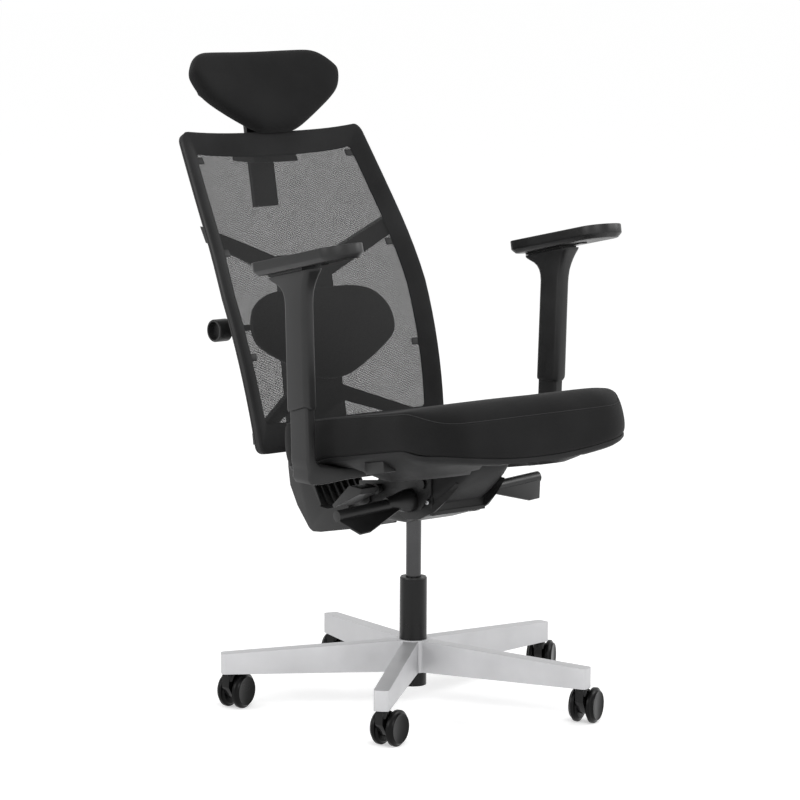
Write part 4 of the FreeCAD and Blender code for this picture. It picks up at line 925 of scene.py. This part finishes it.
SHELL_RINGS = [
    (70, lambda x, y, rim: 10.0), (14, lambda x, y, rim: rim + 1.0), (2.5, lambda x, y, rim: rim + 2.2),
    (0, lambda x, y, rim: rim + 0.6), (0.5, lambda x, y, rim: rim - 4.5), (3, lambda x, y, rim: rim - 8.0),
    (10, lambda x, y, rim: (rim - 9) * 0.9 - 4.0 * lobe(x, y)),
    (40, lambda x, y, rim: -1.0 - 14.0 * lobe(x, y)),
    (70, lambda x, y, rim: -1.0 - 27.0 * lobe(x, y)),
    (88, lambda x, y, rim: -1.0 - 33.0 * lobe(x, y)),
    (120, lambda x, y, rim: -1.0 - 34.0 * lobe(x, y)),
    (140, lambda x, y, rim: -1.0 - 34.0 * lobe(x, y)),
    (158, lambda x, y, rim: -1.0 - 20.0 * lobe(x, y)),
    (166, lambda x, y, rim: -1.0 - 12.0 * ease(-y, 92, 120)),
]
shell = rolled("seat_shell_skin", [shell_ring(inset, under) for inset, under in SHELL_RINGS])
moved(shell, SEAT)
smooth(shell, 35)
dress(shell, "seat", "gloss_black", shell_black, "seat_shell")

# %% [markdown]
# ## Arms
#
# Each arm is an L-shaped bracket under the seat that turns up into a post, and a sleeve that
# slides on it and flares out to carry the pad.  Both are rolled from rounded rectangles.  The
# left arm is made and then mirrored.

# %% Arm bracket
ARM_SPAN, ARM_Y, ARM_Z, ARM_SPLAY = 292.0, -43.0, 466.0, 1.9
ARM_FOOT = at(ARM_SPAN, ARM_Y, ARM_Z) @ tilt(ARM_SPLAY, "Y")


def rounded_ring(half_u, half_v, corner, steps=5):
    """Points round a rectangle about its middle."""
    ring = []
    for quarter, (u, v) in enumerate(((1, -1), (1, 1), (-1, 1), (-1, -1))):
        for k in range(steps + 1):
            angle = math.radians(90 * quarter - 90 + 90 * k / steps)
            ring.append((u * (half_u - corner) + corner * math.cos(angle),
                         v * (half_v - corner) + corner * math.sin(angle)))
    return ring


def bracket_rings():
    """Sections along the bar, round the bend and up the post."""
    HALF_DEEP, CORNER = 24.6, 5.0
    BAR = [  # distance out, underside, top, how far the section tilts with the seat
        (118, -19, -2, 1), (150, -20, -1.5, 1), (185, -20, 0, 1), (215, -20, 3, 0.8), (238, -20, 8, 0.4),
        (252, -20, 12, 0.1),
    ]
    bend_x, bend_z, inner = ARM_SPAN - 30.0, ARM_Z + 34.0, 20.0
    stations = [((x, ARM_Z + high), (x, ARM_Z + low), lean) for x, low, high, lean in BAR]
    for k in range(10):
        angle = math.radians(-90 + 10 * k)
        direction = (math.cos(angle), math.sin(angle))
        reach = 1 / max(abs(direction[0]) / 40.0, abs(direction[1]) / 54.0)
        reach -= 6.5 * max(0.0, math.sin(2 * (angle + math.pi / 2))) ** 6
        stations.append(((bend_x + inner * direction[0], bend_z + inner * direction[1]),
                         (bend_x + reach * direction[0], bend_z + reach * direction[1]), 0))
    for z in (50.0, 90.0, 180.0, 276.0):
        lean_out = (z - 34.0) * math.tan(math.radians(ARM_SPLAY))
        stations.append(((bend_x + 20 + lean_out, ARM_Z + z), (bend_x + 40 + lean_out, ARM_Z + z), 0))
    rings = []
    for near, far, lean in stations:
        middle = Vector(((near[0] + far[0]) / 2, ARM_Y, (near[1] + far[1]) / 2))
        outward_dir = Vector((far[0] - near[0], 0, far[1] - near[1]))
        half = outward_dir.length / 2
        outward_dir.normalize()
        rise = math.tan(math.radians(10.5)) * lean
        rings.append([middle + Vector((0, u, -u * rise)) + outward_dir * v
                      for u, v in rounded_ring(HALF_DEEP, half, min(CORNER, half - 0.5))])
    return rings


bracket = rolled("arm_bracket_left_skin", bracket_rings())
smooth(bracket, 40)

# %% [markdown]
# The sleeve is straight below and flares at its top, more to the rear than to the front, where
# it carries the sloping pad.

# %% Arm sleeve
SLEEVE = [  # height, front, rear, half width, share of the pad's slope
    (116, -28.6, 28.6, 13.0, 0), (117.5, -29.4, 29.4, 13.6, 0), (121, -29.8, 29.8, 13.8, 0),
    (240, -29.2, 29.6, 13.6, 0), (300, -29.0, 29.6, 13.6, 0), (312, -29.6, 31.0, 13.8, 0.1),
    (322, -31.0, 34.2, 14.2, 0.3), (331, -33.8, 39.6, 15.0, 0.5), (339, -37.6, 47.0, 16.0, 0.75),
    (346, -42.0, 56.0, 17.2, 0.95), (351, -45.6, 63.4, 18.2, 1), (354.2, -47.6, 67.2, 18.8, 1),
    (357.4, -48.0, 68.0, 19.0, 1),
]
PAD_SLOPE, LOWER_STEP = math.tan(math.radians(12.3)), 9.0
rings = []
for height, front, rear, half_wide, share in SLEEVE:
    middle, half_deep = (front + rear) / 2, (rear - front) / 2
    ring = []
    for u, v in rounded_ring(half_wide, half_deep, min(10.0, half_wide - 1)):
        y = middle + v
        step = LOWER_STEP * (u / half_wide) * (-y / 29.0) * (height < 122) * (u > 0)
        ring.append(Vector((u, y, height - share * PAD_SLOPE * y + step)))
    rings.append(ring)
sleeve = rolled("arm_sleeve_left_skin", rings)
moved(sleeve, ARM_FOOT)
smooth(sleeve, 42)

for side, twin in (("left", None), ("right", mirrored)):
    for piece, body, slot, node in ((bracket, "seat_frame", "aluminium", "arm_bracket"),
                                    (sleeve, "sleeve_" + side, "black_plastic", "arm_sleeve")):
        one = twin(piece, node + "_right_skin") if twin else piece
        dress(one, body, slot, black_plastic, node + "_" + side)

# %% [markdown]
# ## Mechanism cover
#
# The nose cover is a boat-shaped shell, open at its top and rear: deep at the housing, rising
# to a slanted tip under the seat.  Its sections are rolled along its length, the top and rear
# faces are deleted, and the skin gets a wall's thickness.

# %% Nose cover
NOSE = [  # forward position, half width, underside, top
    (-128.4, 65, 397, 470), (-140, 64, 405, 474), (-157, 61, 418, 478), (-175, 56.5, 433, 481),
    (-190, 52, 446, 484),
    (-203, 47, 458, 487), (-212, 43, 468, 489), (-217, 40, 478, 491), (-219, 38, 487, 491.5),
]
rings = []
for y, half_wide, low, high in NOSE:
    half_high = (high - low) / 2
    ring = []
    for u, v in rounded_ring(1, 1, 0.999, steps=9):
        bulge = 6.0 if v < 0 else 9.0
        length = (abs(u) ** bulge + abs(v) ** bulge) ** (1 / bulge)
        ring.append(Vector((u / length * half_wide, y, low + half_high + v / length * half_high)))
    rings.append(ring)
nose = rolled("nose_cover_skin", rings)
take(nose)
for face in nose.data.polygons:
    face.select = face.normal.z > 0.55 or face.normal.y > 0.9
bpy.ops.object.mode_set(mode="EDIT")
bpy.ops.mesh.select_mode(type="FACE")
bpy.ops.mesh.delete(type="FACE")
bpy.ops.object.mode_set(mode="OBJECT")
modify(nose, "SOLIDIFY", thickness=2.5 * MM, offset=-1)
smooth(nose, 50)
dress(nose, "mechanism", "housing_metal", shell_black, "mech_nose_cover")

# %% [markdown]
# A small bright bolt shows on each side of the mechanism.

# %% Side bolts
clear_selection()
bolts = []
for sign in (-1, 1):
    bpy.ops.mesh.primitive_cylinder_add(radius=0.0042, depth=0.004, vertices=24)
    bolt = bpy.context.object
    modify(bolt, "BEVEL", width=0.001, segments=3, limit_method="ANGLE")
    moved(bolt, at(sign * 71, -121, 401) @ tilt(90, "Y"))
    bolts.append(bolt)
take(bolts[0])
bolts[1].select_set(True)
bpy.ops.object.join()
side_bolts = bpy.context.object
side_bolts.name = "side_bolts"
smooth(side_bolts)
dress(side_bolts, "mechanism", "steel", zinc)

# %% [markdown]
# A dark plate covers each side of the mechanism.  Its front edge slants forward over the nose.

# %% Side covers
COVER = [
    (-30, 441), (-189, 442), (-186, 436), (-161, 409), (-132, 384), (-100, 368), (-62, 360), (-36, 372),
]
HOUSING_FRONT, COVER_Y, COVER_Z = -128, -95, 408


def on_cover(x, y, z, draw):
    """A point of the plate, drawn in towards its middle; in front it lies on the nose's side."""
    if y < HOUSING_FRONT:
        x = min(x, 66.0 - 0.21 * (HOUSING_FRONT - y))
    return Vector((x, y + (COVER_Y - y) * draw, z + (COVER_Z - z) * draw))


for sign, side in ((-1, "left"), (1, "right")):
    rings = [[on_cover(x, y, z, draw) * Vector((sign, 1, 1)) for y, z in COVER]
             for x, draw in ((60.0, 0.0), (69.0, 0.0), (70.4, 0.02), (70.4, 0.3))]
    plate = rolled("side_cover_" + side, rings)
    smooth(plate, 35)
    dress(plate, "mechanism", "gloss_black", satin_black)

# %% [markdown]
# Each lever grows out of the mechanism through a tapered hub.  The hub is a short cone joined
# to a rounded copy of the lever.

# %% Levers with their hubs
LEVER_Y, LEVER_Z = -72.0, 398.0
for node, sign in (("height_lever", -1), ("tilt_lever", 1)):
    lever = softened(node, 1.6)
    clear_selection()
    profile = [
        (68.5, 20.0), (71.0, 21.5), (80.0, 21.0), (92.0, 18.0), (106.0, 14.2), (122.0, 11.4), (126.0, 10.4),
    ]
    rings = [[(sign * x, LEVER_Y + r * math.cos(math.radians(a)), LEVER_Z + r * math.sin(math.radians(a)))
              for a in range(0, 360, 12)] for x, r in profile]
    hub = rolled(node + "_hub", rings)
    take(lever)
    hub.select_set(True)
    bpy.ops.object.join()
    smooth(lever, 42)
    dress(lever, node, "black_plastic", satin_black, node)

# %% [markdown]
# ## Back carrier
#
# The J-shaped carrier is an open channel: two side walls and a row of stiffening ribs stand up
# from its inner face.

# %% Carrier with channel ribs
carrier = softened("back_carrier", 2.5)
INNER = [(200, 350), (240, 397), (262, 422), (272, 440), (281, 470), (287, 500), (291.5, 530)]
PAST_END = (296.0, 560)
ribs = []
for x in (-56.4, -40, -24, -8, 8, 24, 40, 56.4):
    tall = 11.0 if abs(x) > 50 else 8.0
    rings = []
    for (y, z), (next_y, next_z) in zip(INNER, INNER[1:] + [PAST_END]):
        along_run = Vector((0, next_y - y, next_z - z)).normalized()
        inward_dir = Vector((0, -along_run.z, along_run.y))
        fade = 0.15 if (y, z) in (INNER[0], INNER[-1]) else 1.0
        rings.append([Vector((x + side * 1.5, y, z)) + inward_dir * depth
                      for side, depth in ((-1, -3), (1, -3), (1, tall * fade), (-1, tall * fade))])
    ribs.append(rolled("carrier_rib", rings))
take(carrier)
for rib in ribs:
    rib.select_set(True)
bpy.ops.object.join()
smooth(carrier, 38)
dress(carrier, "back", "gloss_black", black_plastic, "back_carrier")

# %% [markdown]
# ## Everything else from the frame
#
# The remaining nodes already have their true shapes.  Prismatic ones get their edges rounded
# on a copy.

# %% Rounded copies of moulded and cast pieces
ROUNDED = {
    "star_base": ("base", "aluminium", aluminium, 2.2),
    "mech_housing": ("mechanism", "housing_metal", housing_coat, 1.6),
    "side_plates": ("mechanism", "steel", housing_coat, 0.8),
    "tension_lever": ("tension_lever", "black_plastic", black_plastic, 1.2),
    "seat_carrier": ("seat_frame", "black_plastic", black_plastic, 1.5),
    "slide_handle": ("slide_handle", "black_plastic", satin_black, 1.5),
    "back_spine": ("back", "gloss_black", black_plastic, 2.5),
    "headrest_bracket": ("back", "black_plastic", black_plastic, 3.0),
    "headrest_stem": ("headrest_stem", "black_plastic", satin_black, 1.5),
    "headrest_shell": ("headrest", "gloss_black", satin_black, 1.2),
}
for k in range(1, 6):
    ROUNDED["caster_body_%d" % k] = ("caster_%d" % k, "gloss_black", gloss_black, 1.6)
    ROUNDED["caster_wheels_%d" % k] = ("wheels_%d" % k, "black_plastic", tyre_black, 2.0)
for side in ("left", "right"):
    ROUNDED["arm_pad_" + side] = ("arm_pad_" + side, "soft_pad", soft_skin, 1.5)
for node, (body, slot, material, width) in ROUNDED.items():
    dress(softened(node, width), body, slot, material, node)

# %% [markdown]
# Turned and hidden nodes keep their own mesh and only get a finish: the steel of the lift, the
# zinc of the pins, the black of the buttons.

# %% Finishes for the nodes that stay
KEPT = {
    black_plastic: ["guide_bush", "lumbar_knob", "pad_plate_left", "pad_plate_right"],
    gloss_black: ["arm_height_button_left", "arm_height_button_right", "arm_pad_button_left",
                  "arm_pad_button_right"],
    lift_steel: ["lift_tube"],
    bright_steel: ["piston_rod", "thrust_bearing", "headrest_pin"],
    tube_black: ["column_tube", "pivot_pins"],
    zinc: ["recline_spring", "arm_screws"] + ["caster_pins_%d" % k for k in range(1, 6)],
}
for material, names in KEPT.items():
    for name in names:
        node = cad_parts[name]
        node.data.materials.clear()
        node.data.materials.append(material)
kept_count = sum(len(names) for names in KEPT.values())
print(len(ROUNDED), "rounded copies,", kept_count, "nodes with a finish only")

# %% [markdown]
# The view layer is brought up to date.

# %% Finish
bpy.context.view_layer.update()
